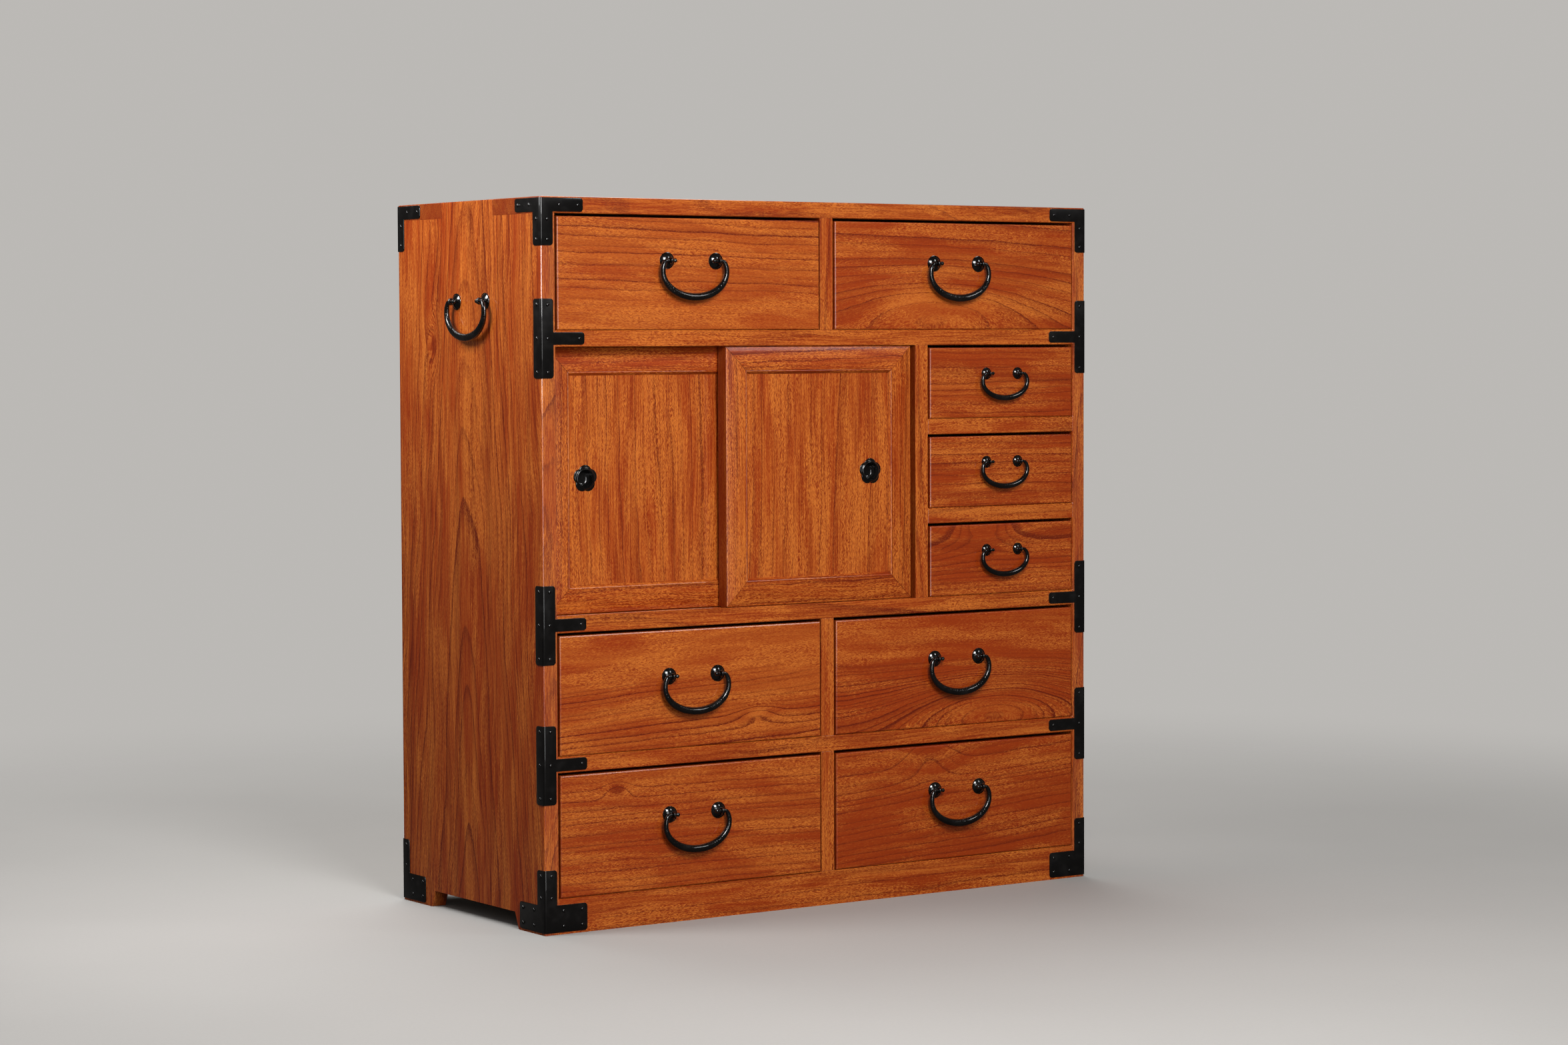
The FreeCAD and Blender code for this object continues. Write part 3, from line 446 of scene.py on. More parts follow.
def board_group():
    """Figure of a sawn board: growth rings round a heart, a knot, fibres, pores and end grain, with painted shade
    on chosen edge faces and a painted pale sheen on faces towards the front.
    """
    found = bpy.data.node_groups.get("sawn_board")
    if found:
        return found
    graph, given = surface_group(
        "sawn_board",
        Vector="vector knot swell calm shaded",
        Float="seed heart depth spacing slant taper wave lines streaks fibre threads tone edge",
        Color="light body dark",
    )
    along, across, deep = graph.split(given.vector)
    shift = graph.pack(given.seed * 173.0, given.seed * 59.0, given.seed * 31.0)
    moved = graph.vector("ADD", given.vector, shift)

    # Line across the board, bent by slow and quick waves
    slow = graph.cloud(moved, (320.0, 80.0, 80.0), 1.0) - 0.5
    quick = graph.cloud(moved, (60.0, 16.0, 16.0), 2.0) - 0.5
    jag = graph.cloud(moved, (10.0, 3.0, 3.0), 2.0) - 0.5
    side = across - given.heart + along * given.slant
    side = side + slow * (given.wave * 3.0) + quick * 4.5 + jag * 1.5
    below = deep + given.depth
    radius = graph.sum("SQRT", side * side + below * below) + along * given.taper

    # The rings bulge round a knot or a hump of the trunk
    knot_along, knot_across, knot_size = graph.split(given.knot)
    stretch, swelling, knot_tone = graph.split(given.swell)
    from_along = (along - knot_along) * stretch
    from_across = across - knot_across + quick * 3.0
    share = graph.sum("SQRT", from_along * from_along + from_across * from_across) / knot_size
    bulge = graph.sum("EXPONENT", share * share * -0.5) * (knot_size * swelling)
    radius = radius + bulge
    core = graph.ramp(share, 0.35, 0.95, 1.0, 0.0) * knot_tone

    # Thin dark late wood before each ring, with a soft band leading to it
    count = radius / given.spacing
    count = count + graph.cloud(graph.pack(count, given.seed, 0.0), (2.3, 1.0, 1.0), 1.0) * 2.2
    part = graph.sum("FRACT", count)
    gap = (1.0 - part) * given.spacing
    whole = {"Vector": graph.pack(graph.sum("FLOOR", count), given.seed, 0.0)}
    ring = graph.add("ShaderNodeTexWhiteNoise", whole, noise_dimensions="2D")
    slope, level, _ = graph.split(given.calm)
    strong = graph.ramp(ring.outputs["Value"], 0.0, 1.0, 0.35, 1.0) * (across * slope + level).clamped()
    dashes = graph.ramp(graph.cloud(moved, (1.6, 0.8, 0.8), 1.0), 0.32, 0.60, 0.25, 1.0)
    strong = strong * graph.ramp(gap, 0.0, 0.5)
    line = graph.ramp(gap, 0.7, 2.4, 1.0, 0.0) * strong * dashes
    band = graph.ramp(part, 0.25, 0.98) * strong

    # Fibres and pores that flow with the rings, and the slow clouds of tone
    flow = graph.vector("ADD", graph.pack(along, side + bulge * 0.6, deep), shift)
    curl = graph.vector("SUBTRACT", graph.cloud(flow, (16.0, 7.0, 7.0), 1.0, output="Color"), (0.5, 0.5, 0.5))
    fibres = graph.vector("ADD", flow, graph.vector("MULTIPLY", curl, (0.0, 6.0, 6.0)))
    patch = graph.patches(flow, (130.0, 24.0, 24.0), 2.0, 0.42, 0.62)
    lively = given.fibre * (patch * 0.9 + 0.55)
    fleck = (graph.patches(fibres, (4.2, 0.62, 0.62), 1.0, 0.30, 0.70) - 0.5) * lively
    thread = (graph.ramp(graph.cloud(flow, (70.0, 1.3, 1.3), 3.0, 0.6), 0.32, 0.68) - 0.5) * given.threads
    apart = graph.vector("ADD", fibres, (0.0, 31.0, 17.0))
    glint = graph.patches(apart, (4.6, 0.75, 0.75), 1.0, 0.48, 0.70)
    pore = graph.patches(fibres, (3.0, 0.5, 0.5), 1.0, 0.58, 0.70)
    curly = graph.patches(moved, (60.0, 30.0, 30.0), 2.0, 0.50, 0.62)
    tone = (graph.patches(flow, (160.0, 14.0, 14.0), 3.0, 0.25, 0.75) + given.tone).clamped()
    streak = graph.patches(flow, (420.0, 13.0, 13.0), 3.0, 0.50, 0.68)
    apart = graph.vector("ADD", flow, (0.0, 57.0, 21.0))
    pale = graph.patches(apart, (380.0, 12.0, 12.0), 3.0, 0.50, 0.68)

    shade = (line + band * 0.40) * given.lines - (thread + fleck * 0.55)
    shade = shade + pore * (line * 0.8 + 0.15) * 0.5 + streak * given.streaks + core
    shade = (shade + 0.08).clamped()
    bright = pale * given.streaks + tone * 0.45 + patch * 0.3
    bright = bright + glint * (curly * 0.5 + 0.7) * lively + (thread + fleck * 1.1) - 0.12
    bright = (bright - core).clamped()
    colour = graph.blend(shade, graph.blend(bright, given.body, given.light), given.dark)

    # Faces along the board's own grain axis are end grain that took more of the stain; faces along any other chosen
    # axis get painted shade, for the dark gaps beside the part
    end = graph.vector("LENGTH", graph.vector("MULTIPLY", graph.facing(), given.shaded))
    colour = graph.blend(graph.ramp(end, 0.75, 0.9) * 0.6, colour, given.dark)
    # Painted sheen: faces towards the front blend towards pale pink by the edge share
    before = graph.vector("DOT_PRODUCT", graph.facing(), (0.0, -1.0, 0.0))
    colour = graph.blend(graph.ramp(before, 0.75, 0.9) * given.edge, colour, (0.60, 0.30, 0.17, 1.0))
    graph.add("NodeGroupOutput", {
        "colour": colour,
        "roughness": fleck * -0.1 + 0.38 + line * 0.05 + tone * -0.04,
        "height": line * -0.35 + pore * -0.55 + fleck * 0.6,
    })
    return graph.tree


def forged_group():
    """Surface of painted iron: broad hammer planes, fine tooth of the paint and rubbed patches."""
    found = bpy.data.node_groups.get("painted_iron")
    if found:
        return found
    graph, given = surface_group("painted_iron", Vector="vector", Float="size dents tooth gloss", Color="paint")
    sized = graph.vector("DIVIDE", given.vector, graph.pack(given.size, given.size, given.size))
    inputs = {"Vector": sized, "Scale": 1.0, "Smoothness": 0.35}
    planes = graph.add("ShaderNodeTexVoronoi", inputs, feature="SMOOTH_F1")
    lumps = graph.cloud(sized, (2.2, 2.2, 2.2), 2.0)
    tooth = graph.cloud(given.vector, (0.35, 0.35, 0.35), 2.0)
    rubbed = graph.patches(given.vector, (14.0, 14.0, 14.0), 4.0, 0.45, 0.75)
    graph.add("NodeGroupOutput", {
        "colour": graph.blend(rubbed * 0.5, given.paint, (0.013, 0.0115, 0.011, 1.0)),
        "roughness": rubbed * 0.08 + given.gloss + tooth * 0.08,
        "height": (lumps * 0.8 + planes.outputs["Distance"]) * given.dents + tooth * given.tooth,
    })
    return graph.tree


def finish_on(name, group, values, place, bump, specular, coat, coat_roughness):
    """Material that carries one group's colour, roughness and relief; place makes its coordinates."""
    material = bpy.data.materials.new(name)
    graph = Graph(material)
    body = graph.add("ShaderNodeGroup", {**values, "vector": place(graph)}, node_tree=group)
    strength, distance = bump
    height = body.outputs["height"]
    relief = graph.add("ShaderNodeBump", {"Strength": strength, "Distance": distance, "Height": height})
    surface = graph.add("ShaderNodeBsdfPrincipled", {
        "Base Color": body.outputs["colour"],
        "Roughness": body.outputs["roughness"],
        "Normal": relief.outputs["Normal"],
        "Specular IOR Level": specular,
        "Coat Weight": coat,
        "Coat Roughness": coat_roughness,
    })
    graph.add("ShaderNodeOutputMaterial", {"Surface": surface.outputs["BSDF"]})
    return material


def with_alpha(colour):
    """Colour with a fourth channel, as sockets want it."""
    return (*colour, 1.0)


def wooden(name, board, seed, centre, colours, **finish):
    """Material of one board: its own grain round its centre, in light, body and dark colours."""
    along, across, values = board
    shades = dict(zip(("light", "body", "dark"), map(with_alpha, colours)))

    def place(graph):
        """Millimetres, turned so that X runs along the grain and Y across it."""
        first, second = AXES[along], AXES[across]
        turn = Matrix((first, second, first.cross(second)))
        mapping = graph.add("ShaderNodeMapping", {
            "Vector": graph.place(),
            "Location": -(turn @ centre) / MM,
            "Rotation": turn.to_euler("XYZ"),
            "Scale": (1 / MM, 1 / MM, 1 / MM),
        }, vector_type="POINT")
        return mapping.outputs["Vector"]

    return finish_on(name, board_group(), {**values, **shades, "seed": seed}, place, **finish)


def lacquered(context, name, board, seed, centre, coat=0.6):
    """Lacquered board with its own grain."""
    wood = context.scene.tansu_wood
    return wooden(
        "lacquered_" + name, board, seed, centre, (wood.light, wood.body, wood.dark),
        bump=(0.30, 0.00025), specular=0.25, coat=coat, coat_roughness=0.10,
    )


def unstained(context, name, board, seed, centre):
    """Plain board of a drawer box, the bottom or the back."""
    wood = context.scene.tansu_wood
    return wooden(
        "unstained_" + name, board, seed, centre, (wood.plain_light, wood.plain_body, wood.plain_dark),
        bump=(0.35, 0.0003), specular=0.3, coat=0.0, coat_roughness=0.3,
    )


def iron(context, name, coat, **values):
    """Black painted iron, with its values for the group of painted iron."""
    values["paint"] = with_alpha(context.scene.tansu_iron.colour)

    def place(graph):
        """Place on the piece in millimetres."""
        return graph.vector("MULTIPLY", graph.place(), (1 / MM, 1 / MM, 1 / MM))

    return finish_on(
        name, forged_group(), values, place, bump=(0.6, 0.0006), specular=0.25, coat=coat, coat_roughness=0.08,
    )


# ---- Shaping

def middle_of(node):
    """Centre of a CAD node's box."""
    low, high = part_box(node)
    return (low + high) / 2


def new_piece(name, shape, material, body, node, smooth):
    """Object from a finished shape, riding on its body in place of the node it stands for."""
    mesh = bpy.data.meshes.new(name)
    shape.to_mesh(mesh)
    shape.free()
    mesh.materials.append(material)
    piece = bpy.data.objects.new(name, mesh)
    bpy.context.scene.collection.objects.link(piece)
    mesh.shade_smooth()
    mesh.set_sharp_from_angle(angle=math.radians(smooth))
    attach(piece, body)
    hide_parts(node)


def everything(shape):
    """Corners, edges and faces of a shape."""
    return shape.verts[:] + shape.edges[:] + shape.faces[:]


def corners_in(items):
    """Corners among the parts of a shape."""
    return [item for item in items if isinstance(item, bmesh.types.BMVert)]


def edges_in(items):
    """Edges among the parts of a shape."""
    return [item for item in items if isinstance(item, bmesh.types.BMEdge)]


def next_ring(shape, edges, move):
    """Draw an open ring out to a new one, whose corners move(corner) puts in place."""
    made = bmesh.ops.extrude_edge_only(shape, edges=edges)["geom"]
    corners = set(corners_in(made))
    for corner in corners:
        corner.co = move(corner.co)
    return [edge for edge in edges_in(made) if set(edge.verts) <= corners]


def close_ring(shape, edges):
    """Flat face over an open ring."""
    bmesh.ops.contextual_create(shape, geom=edges)


def cut_off(shape, place, normal):
    """Cut away what lies beyond a plane and close the cut."""
    cut = bmesh.ops.bisect_plane(
        shape, geom=everything(shape), plane_co=place, plane_no=normal, clear_outer=True,
    )
    close_ring(shape, edges_in(cut["geom_cut"]))


def raised(shape, by):
    """Extrude every face of a shape by one step; returns the new corners."""
    made = bmesh.ops.extrude_face_region(shape, geom=shape.faces[:])["geom"]
    corners = corners_in(made)
    bmesh.ops.translate(shape, verts=corners, vec=by)
    return corners


def settle(shape, gap=1e-7):
    """Merge what touches and turn every face outwards."""
    bmesh.ops.remove_doubles(shape, verts=shape.verts, dist=gap)
    bmesh.ops.recalc_face_normals(shape, faces=shape.faces)


def add_copy(target, source, matrix):
    """Put a transformed copy of one shape into another."""
    mesh = bpy.data.meshes.new("copy")
    source.to_mesh(mesh)
    mesh.transform(matrix)
    if matrix.determinant() < 0:
        mesh.flip_normals()
    target.from_mesh(mesh)
    bpy.data.meshes.remove(mesh)


def placed(source, *places):
    """New shape in metres from one in millimetres, repeated at every place."""
    shape = bmesh.new()
    for place in places:
        add_copy(shape, source, place @ Matrix.Scale(MM, 4))
    return shape


def add_block(shape, low, high):
    """Block between two corners."""
    low, high = Vector(low), Vector(high)
    matrix = Matrix.Translation((low + high) / 2) @ Matrix.Diagonal((*(high - low), 1.0))
    bmesh.ops.create_cube(shape, size=1.0, matrix=matrix)


def turned_round(shape, items, centre, axis, steps):
    """Spin a line into a closed round body."""
    bmesh.ops.spin(
        shape, geom=items, cent=centre, axis=axis, dvec=(0, 0, 0), angle=2 * math.pi, steps=steps, use_merge=True,
    )
    settle(shape, 0.001)


def soften(piece, width):
    """Merge a CAD node's loose facets and soften its arrises with modifiers."""
    weld = piece.modifiers.new("merge facets", "WELD")
    weld.merge_threshold = 1e-6
    bevel = piece.modifiers.new("softened arris", "BEVEL")
    bevel.width = width
    bevel.segments = 2
    bevel.limit_method = "ANGLE"
    bevel.angle_limit = math.radians(50)
    bevel.use_clamp_overlap = True


def dress(node, material, width=0.0):
    """Give a CAD node its finish and softened edges."""
    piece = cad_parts[node]
    piece.data.materials.clear()
    piece.data.materials.append(material)
    if width > 0:
        soften(piece, width)


# ---- Case, drawers and doors

class TANSU_OT_case(bpy.types.Operator):
    """Finish the boards of the case"""

    bl_idname = "tansu.case"
    bl_label = "Case boards"

    def execute(self, context):
        width = context.scene.tansu_wood.arris
        for seed, node in enumerate(CASE_BOARDS):
            dress(node, lacquered(context, node, BOARDS[node], 1.7 * seed, middle_of(node)), width)
        for seed, node in enumerate(("bottom_board", "back_boards")):
            dress(node, unstained(context, node, BOARDS[node], 40 + seed, middle_of(node)), width)
        return {"FINISHED"}


class TANSU_OT_drawers(bpy.types.Operator):
    """Finish the drawer fronts and their boxes"""

    bl_idname = "tansu.drawers"
    bl_label = "Drawers"

    def execute(self, context):
        width = context.scene.tansu_wood.arris
        for seed, drawer in enumerate(DRAWERS):
            front = drawer + "_front"
            dress(front, lacquered(context, front, BOARDS[front], 60 + 2.3 * seed, middle_of(front)))
            inside = drawer + "_box"
            dress(inside, unstained(context, inside, DRAWER_BOX, 90 + 1.9 * seed, middle_of(inside)), width)
        return {"FINISHED"}


def door_member(length):
    """Moulded, mitred member of a door frame: X along, Z from its outer edge inwards."""
    groove = MEMBER_INNER - PANEL_GROOVE
    behind = PANEL_RECESS + PANEL_THICK
    cut_corner = 0.293 * DOOR_ARRIS
    outline = [
        (0.0, DOOR_ARRIS),
        (cut_corner, cut_corner),
        (DOOR_ARRIS, 0.0),
        (MEMBER_FACE - 2.6 * QUIRK, 0.0),
        (MEMBER_FACE - 2.1 * QUIRK, QUIRK),
        (MEMBER_FACE - 1.6 * QUIRK, 0.2),
        (MEMBER_FACE - 0.8 * QUIRK, 0.0),
        (MEMBER_FACE + 0.3, 0.35),
        (MEMBER_INNER, PANEL_RECESS),
        (groove, PANEL_RECESS),
        (groove, behind),
        (MEMBER_INNER, behind),
        (MEMBER_INNER, DOOR_THICK),
        (0.0, DOOR_THICK),
    ]
    shape = bmesh.new()
    shape.faces.new([shape.verts.new((0.0, depth * MM, inward * MM)) for inward, depth in outline])
    raised(shape, (length, 0, 0))
    open_joint = MITRE_GAP * MM
    cut_off(shape, (open_joint, 0, 0), (-1, 0, 1))
    cut_off(shape, (length - open_joint, 0, 0), (1, 0, 1))
    settle(shape)
    return shape


class TANSU_OT_doors(bpy.types.Operator):
    """Build the mitred door frames and finish their panels"""

    bl_idname = "tansu.doors"
    bl_label = "Sliding doors"

    def execute(self, context):
        upright = Matrix(((0, 0, 1, 0), (0, 1, 0, 0), (1, 0, 0, 0), (0, 0, 0, 1)))
        for number, door in enumerate(DOORS):
            node = door + "_frame"
            low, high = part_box(node)
            bottom = low.z + TONGUE_LOW * MM
            top = high.z - TONGUE_HIGH * MM
            width = high.x - low.x
            corner = Matrix.Translation((low.x, low.y, bottom))
            above = Matrix.Translation((0, 0, top - bottom)) @ Matrix.Diagonal((1, 1, -1, 1))
            beyond = Matrix.Translation((width, 0, 0)) @ Matrix.Diagonal((-1, 1, 1, 1))
            rails, stiles = bmesh.new(), bmesh.new()
            rail = door_member(width)
            add_copy(rails, rail, corner)
            add_copy(rails, rail, corner @ above)
            stile = door_member(top - bottom)
            add_copy(stiles, stile, corner @ upright)
            add_copy(stiles, stile, corner @ beyond @ upright)
            rail.free()
            stile.free()
            tongue_front = low.y + TONGUE_INSET * MM
            tongue_back = tongue_front + DOOR_TONGUE * MM
            for under, over in ((low.z, bottom), (top, high.z)):
                add_block(rails, (low.x, tongue_front, under), (high.x, tongue_back, over))
            centre = middle_of(node)
            for piece, shape, board, seed in (
                (door + "_rails", rails, DOOR_RAIL, 120 + 3 * number),
                (door + "_stiles", stiles, DOOR_STILE, 130 + 3 * number),
            ):
                bmesh.ops.recalc_face_normals(shape, faces=shape.faces)
                finish = lacquered(context, piece, board, seed, centre, DOOR_COAT)
                new_piece(piece, shape, finish, door, node, 25.0)
            panel = door + "_panel"
            dress(panel, lacquered(context, panel, BOARDS[panel], 140 + 5 * number, middle_of(panel)))
        return {"FINISHED"}


# ---- Finger pulls

# Dished cup, raised rim and blossom plate, ring by ring in millimetres: radius of a round ring,
# or growth of the five-lobed outline where the ring follows it; height out of the panel; and
# the share of the five-lobed outline in the ring
PULL_RINGS = (
    (1.6, -7.55, 0.0),
    (4.4, -7.5, 0.0),
    (6.4, -7.1, 0.0),
    (7.5, -6.2, 0.0),
    (8.3, -3.0, 0.0),
    (9.1, 0.6, 0.0),
    (9.5, 1.9, 0.0),
    (9.95, 2.35, 0.0),
    (10.6, 2.4, 0.0),
    (11.2, 2.2, 0.0),
    (11.8, 1.6, 0.0),
    (12.1, 1.22, 0.1),
    (12.5, 1.1, 0.5),
    (-0.75, 1.05, 1.0),
    (-0.35, 0.9, 1.0),
    (0.0, 0.5, 1.0),
    (0.0, 0.0, 1.0),
    (10.7, 0.0, 0.0),
    (10.4, -1.0, 0.0),
    (7.8, -8.4, 0.0),
)
# Growth of the lobes where a ring is only partly five-lobed
PARTLY_LOBED = -1.4
PULL_PIN = (4.9, -1.1, 12.2)


def lobed(turn, grow):
    """Distance of the five-lobed outline from its centre at one direction."""
    notch = math.pi / PULL_LOBES
    off = (turn - QUARTER + notch) % (2 * notch) - notch
    inside = (PULL_LOBE_RADIUS + grow) ** 2 - (PULL_LOBE_CENTRE * math.sin(off)) ** 2
    return PULL_LOBE_CENTRE * math.cos(off) + math.sqrt(inside)


def on_pull(corner, ring):
    """Place of a corner once it belongs to a ring of the finger pull."""
    reach, out, share = ring
    turn = math.atan2(corner.z, corner.x)
    if share < 1:
        distance = reach * (1 - share) + lobed(turn, PARTLY_LOBED) * share
    else:
        distance = lobed(turn, reach)
    return Vector((distance * math.cos(turn), -out, distance * math.sin(turn)))


def finger_pull():
    """Blossom plate, raised rim and dished cup, in millimetres with Y = 0 on the panel."""
    shape = bmesh.new()
    upright = Matrix.Rotation(QUARTER, 4, "X")
    bmesh.ops.create_circle(shape, cap_ends=False, segments=PULL_SIDES, radius=1.0, matrix=upright)
    edges = shape.edges[:]
    for corner in shape.verts:
        corner.co = on_pull(corner.co, PULL_RINGS[0])
    close_ring(shape, edges)
    for ring in PULL_RINGS[1:]:
        edges = next_ring(shape, edges, lambda corner, ring=ring: on_pull(corner, ring))
    close_ring(shape, edges)
    settle(shape, 1e-5)
    matrix = Matrix.Translation(PULL_PIN)
    bmesh.ops.create_uvsphere(shape, u_segments=12, v_segments=8, radius=0.8, matrix=matrix)
    return shape


class TANSU_OT_pulls(bpy.types.Operator):
    """Build the plum-blossom finger pulls of the doors"""

    bl_idname = "tansu.pulls"
    bl_label = "Finger pulls"

    def execute(self, context):
        material = iron(context, "iron_cast", 0.8, size=3.0, dents=0.05, tooth=0.02, gloss=0.14)
        pull = finger_pull()
        for door in DOORS:
            node = door + "_pull"
            low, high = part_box(node)
            panel_low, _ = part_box(door + "_panel")
            height = high.z - (PULL_LOBE_CENTRE + PULL_LOBE_RADIUS) * MM
            place = Matrix.Translation(((low.x + high.x) / 2, panel_low.y, height))
            new_piece(node + "_blossom", placed(pull, place), material, door, node, 40.0)
        pull.free()
        return {"FINISHED"}


# ---- Handles

def bail_stations(size):
    """Line of half a bail from its middle to its tip: (x, z, heading, thickness radius)."""
    side = size.width / 2 - size.flank
    low = size.drop - size.belly - size.shoulder
    post = size.spacing / 2
    pin_out = post + size.eye + EYE_CLEARANCE
    pin_in = post - size.eye - EYE_CLEARANCE
    turn_in = side - pin_out
    stations = []
    for i in range(ARC_SPANS + 1):
        turn = QUARTER * i / ARC_SPANS
        heading = Vector((side * math.cos(turn), 0, low * math.sin(turn)))
        radius = size.flank + (size.belly - size.flank) * math.cos(turn) ** 1.3
        stations.append((side * math.sin(turn), -size.shoulder - low * math.cos(turn), heading, radius))
    for i in range(1, SHOULDER_SPANS + 1):
        turn = QUARTER * i / SHOULDER_SPANS
        heading = Vector((-turn_in * math.sin(turn), 0, size.shoulder * math.cos(turn)))
        radius = size.flank + (size.pin - size.flank) * (1 - math.cos(turn))
        stations.append((pin_out + turn_in * math.cos(turn), size.shoulder * (math.sin(turn) - 1), heading, radius))
    # The pin runs through the eye, narrows to a neck and ends in a ball
    tip = [(post, size.pin), (pin_in + 0.6, 0.9 * size.pin), (pin_in - 0.1, 0.62 * size.ball)]
    for i in range(1, BALL_SPANS + 1):
        turn = math.pi * (0.2 + 0.77 * i / BALL_SPANS)
        tip.append((pin_in - size.ball * (0.85 - math.cos(turn)), size.ball * math.sin(turn)))
    return stations + [(x, 0.0, Vector((-1, 0, 0)), radius) for x, radius in tip]


def ring_place(station, out):
    """Matrix that puts a unit circle round the bail's line at one station."""
    x, z, heading, radius = station
    forward = heading.normalized()
    across = Vector((forward.z, 0, -forward.x))
    turned = Matrix((across, AXES["Y"], forward)).transposed().to_4x4()
    sized = Matrix.Diagonal((radius, radius * BAIL_DEPTH, 1, 1))
    return Matrix.Translation((x, -out, z)) @ turned @ sized


def bail(size, dents):
    """Forged bail in millimetres: a ring drawn along the line, mirrored, then dented by the hammer."""
    shape = bmesh.new()
    stations = bail_stations(size)
    place = ring_place(stations[0], size.standoff)
    bmesh.ops.create_circle(shape, cap_ends=False, segments=BAIL_SIDES, radius=1.0, matrix=place)
    ring = shape.edges[:]
    for station in stations[1:]:
        onward = ring_place(station, size.standoff)
        step = onward @ place.inverted()
        ring = next_ring(shape, ring, lambda corner, step=step: step @ corner)
        place = onward
    close_ring(shape, ring)
    bmesh.ops.mirror(shape, geom=everything(shape), matrix=Matrix.Identity(4), merge_dist=0.01, axis="X")
    settle(shape, 0.01)
    shape.normal_update()
    # Dents deepen downwards from a quarter of the drop, in coarse and fine lumps
    depth = dents / MM
    for corner in shape.verts:
        low = min(1.0, max(0.0, (-corner.co.z - 0.25 * size.drop) / (0.6 * size.drop)))
        lump = 0.5 + 0.5 * noise.noise(corner.co * 0.55) + 0.35 * noise.noise(corner.co * 1.4)
        corner.co -= corner.normal * (depth * low * max(0.0, lump))
    return shape


def handle_posts(size):
    """Two domed rosettes with the eyes that carry the bail and their clinched legs, in millimetres."""
    shape = bmesh.new()
    plate = size.rosette
    crown = plate - ROSETTE_RIM
    # Rim of the plate, then the dome on it: (radius, height out)
    line = [(plate, 0.0), (plate, 0.65), (plate - 0.12, 0.95), (plate - 0.5, 1.05), (crown, 0.8)]
    rise = size.dome - 0.8
    ball = (crown ** 2 + rise ** 2) / (2 * rise)
    spread = math.asin(crown / ball)
    for i in reversed(range(DOME_SPANS)):
        turn = spread * i / DOME_SPANS
        line.append((ball * math.sin(turn), size.dome - ball * (1 - math.cos(turn))))
    corners = [shape.verts.new((radius, -out, 0.0)) for radius, out in line]
    edges = [shape.edges.new(pair) for pair in zip(corners, corners[1:])]
    turned_round(shape, corners + edges, (0, 0, 0), AXES["Y"], 36)
    close_ring(shape, [edge for edge in shape.edges if edge.is_boundary])
    wire = EYE_WIRE * size.eye
    upright = Matrix.Rotation(QUARTER, 4, "Z") @ Matrix.Rotation(QUARTER, 4, "Y")
    matrix = Matrix.Translation((0, -size.standoff, size.pin + wire + 0.1)) @ upright
    made = bmesh.ops.create_circle(shape, cap_ends=False, segments=10, radius=wire, matrix=matrix)["verts"]
    loop = list({edge for corner in made for edge in corner.link_edges})
    turned_round(shape, made + loop, (0, -size.standoff, 0), AXES["X"], 24)
    half = SHANK / 2
    add_block(shape, (-half, 0.0, -half), (half, FRONT_WOOD, half))
    add_block(shape, (-half, FRONT_WOOD, -LEG_LENGTH), (half, FRONT_WOOD + LEG_THICK, LEG_LENGTH))
    both = bmesh.new()
    for side in (-1, 1):
        add_copy(both, shape, Matrix.Translation((side * size.spacing / 2, 0, 0)))
    shape.free()
    return both


def handle_places():
    """Handles of the drawers as (drawer, size, matrix of the middle between its posts)."""
    handles = []
    for drawer in DRAWERS:
        size = SMALL if "small" in drawer else LARGE
        low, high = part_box(drawer + "_posts")
        face = low.y + (size.standoff + size.eye) * MM
        handles.append((drawer, size, Matrix.Translation(((low.x + high.x) / 2, face, (low.z + high.z) / 2))))
    return handles


def side_handle_places():
    """The two carrying handles as (side, matrix)."""
    centre = middle_of("side_posts")
    left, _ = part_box("side_left")
    _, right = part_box("side_right")
    return [
        (side, Matrix.Translation((x, centre.y, centre.z)) @ Matrix.Rotation(turn, 4, "Z"))
        for side, x, turn in (("left", left.x, -QUARTER), ("right", right.x, QUARTER))
    ]


class TANSU_OT_bails(bpy.types.Operator):
    """Build the forged bails of the drawers and the sides"""

    bl_idname = "tansu.bails"
    bl_label = "Bail handles"

    def execute(self, context):
        dents = context.scene.tansu_iron.dents
        rough = iron(context, "iron_forged", 0.9, size=1.9, dents=1.0, tooth=0.05, gloss=0.13)
        smooth = iron(context, "iron_small_forged", 0.9, size=2.6, dents=0.3, tooth=0.03, gloss=0.13)
        large = bail(LARGE, dents), rough
        small = bail(SMALL, 0.2 * dents), smooth
        bails = [
            (drawer + "_bail", drawer + "_handle", small if size is SMALL else large, place)
            for drawer, size, place in handle_places()
        ]
        bails += [
            ("side_bail_" + side, "side_handle_" + side, large, place) for side, place in side_handle_places()
        ]
        for node, body, (source, material), place in bails:
            new_piece(node + "_forged", placed(source, place), material, body, node, 60.0)
        large[0].free()
        small[0].free()
        return {"FINISHED"}


class TANSU_OT_posts(bpy.types.Operator):
    """Build the domed rosettes and the eyes that hold the bails"""

    bl_idname = "tansu.posts"
    bl_label = "Rosettes and eyes"

    def execute(self, context):
        material = iron(context, "iron_rosette", 1.0, size=5.0, dents=0.05, tooth=0.02, gloss=0.12)
        large = handle_posts(LARGE)
        small = handle_posts(SMALL)
        posts = [
            (drawer + "_posts", drawer, placed(small if size is SMALL else large, place))
            for drawer, size, place in handle_places()
        ]
        posts.append(("side_posts", "case", placed(large, *(place for _, place in side_handle_places()))))
        for node, body, shape in posts:
            new_piece(node + "_rosettes", shape, material, body, node, 40.0)
        large.free()
        small.free()
        return {"FINISHED"}


# ---- Brackets

def chest_top():
    """Height of the chest's top in millimetres."""
    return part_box("top_board")[1].z / MM


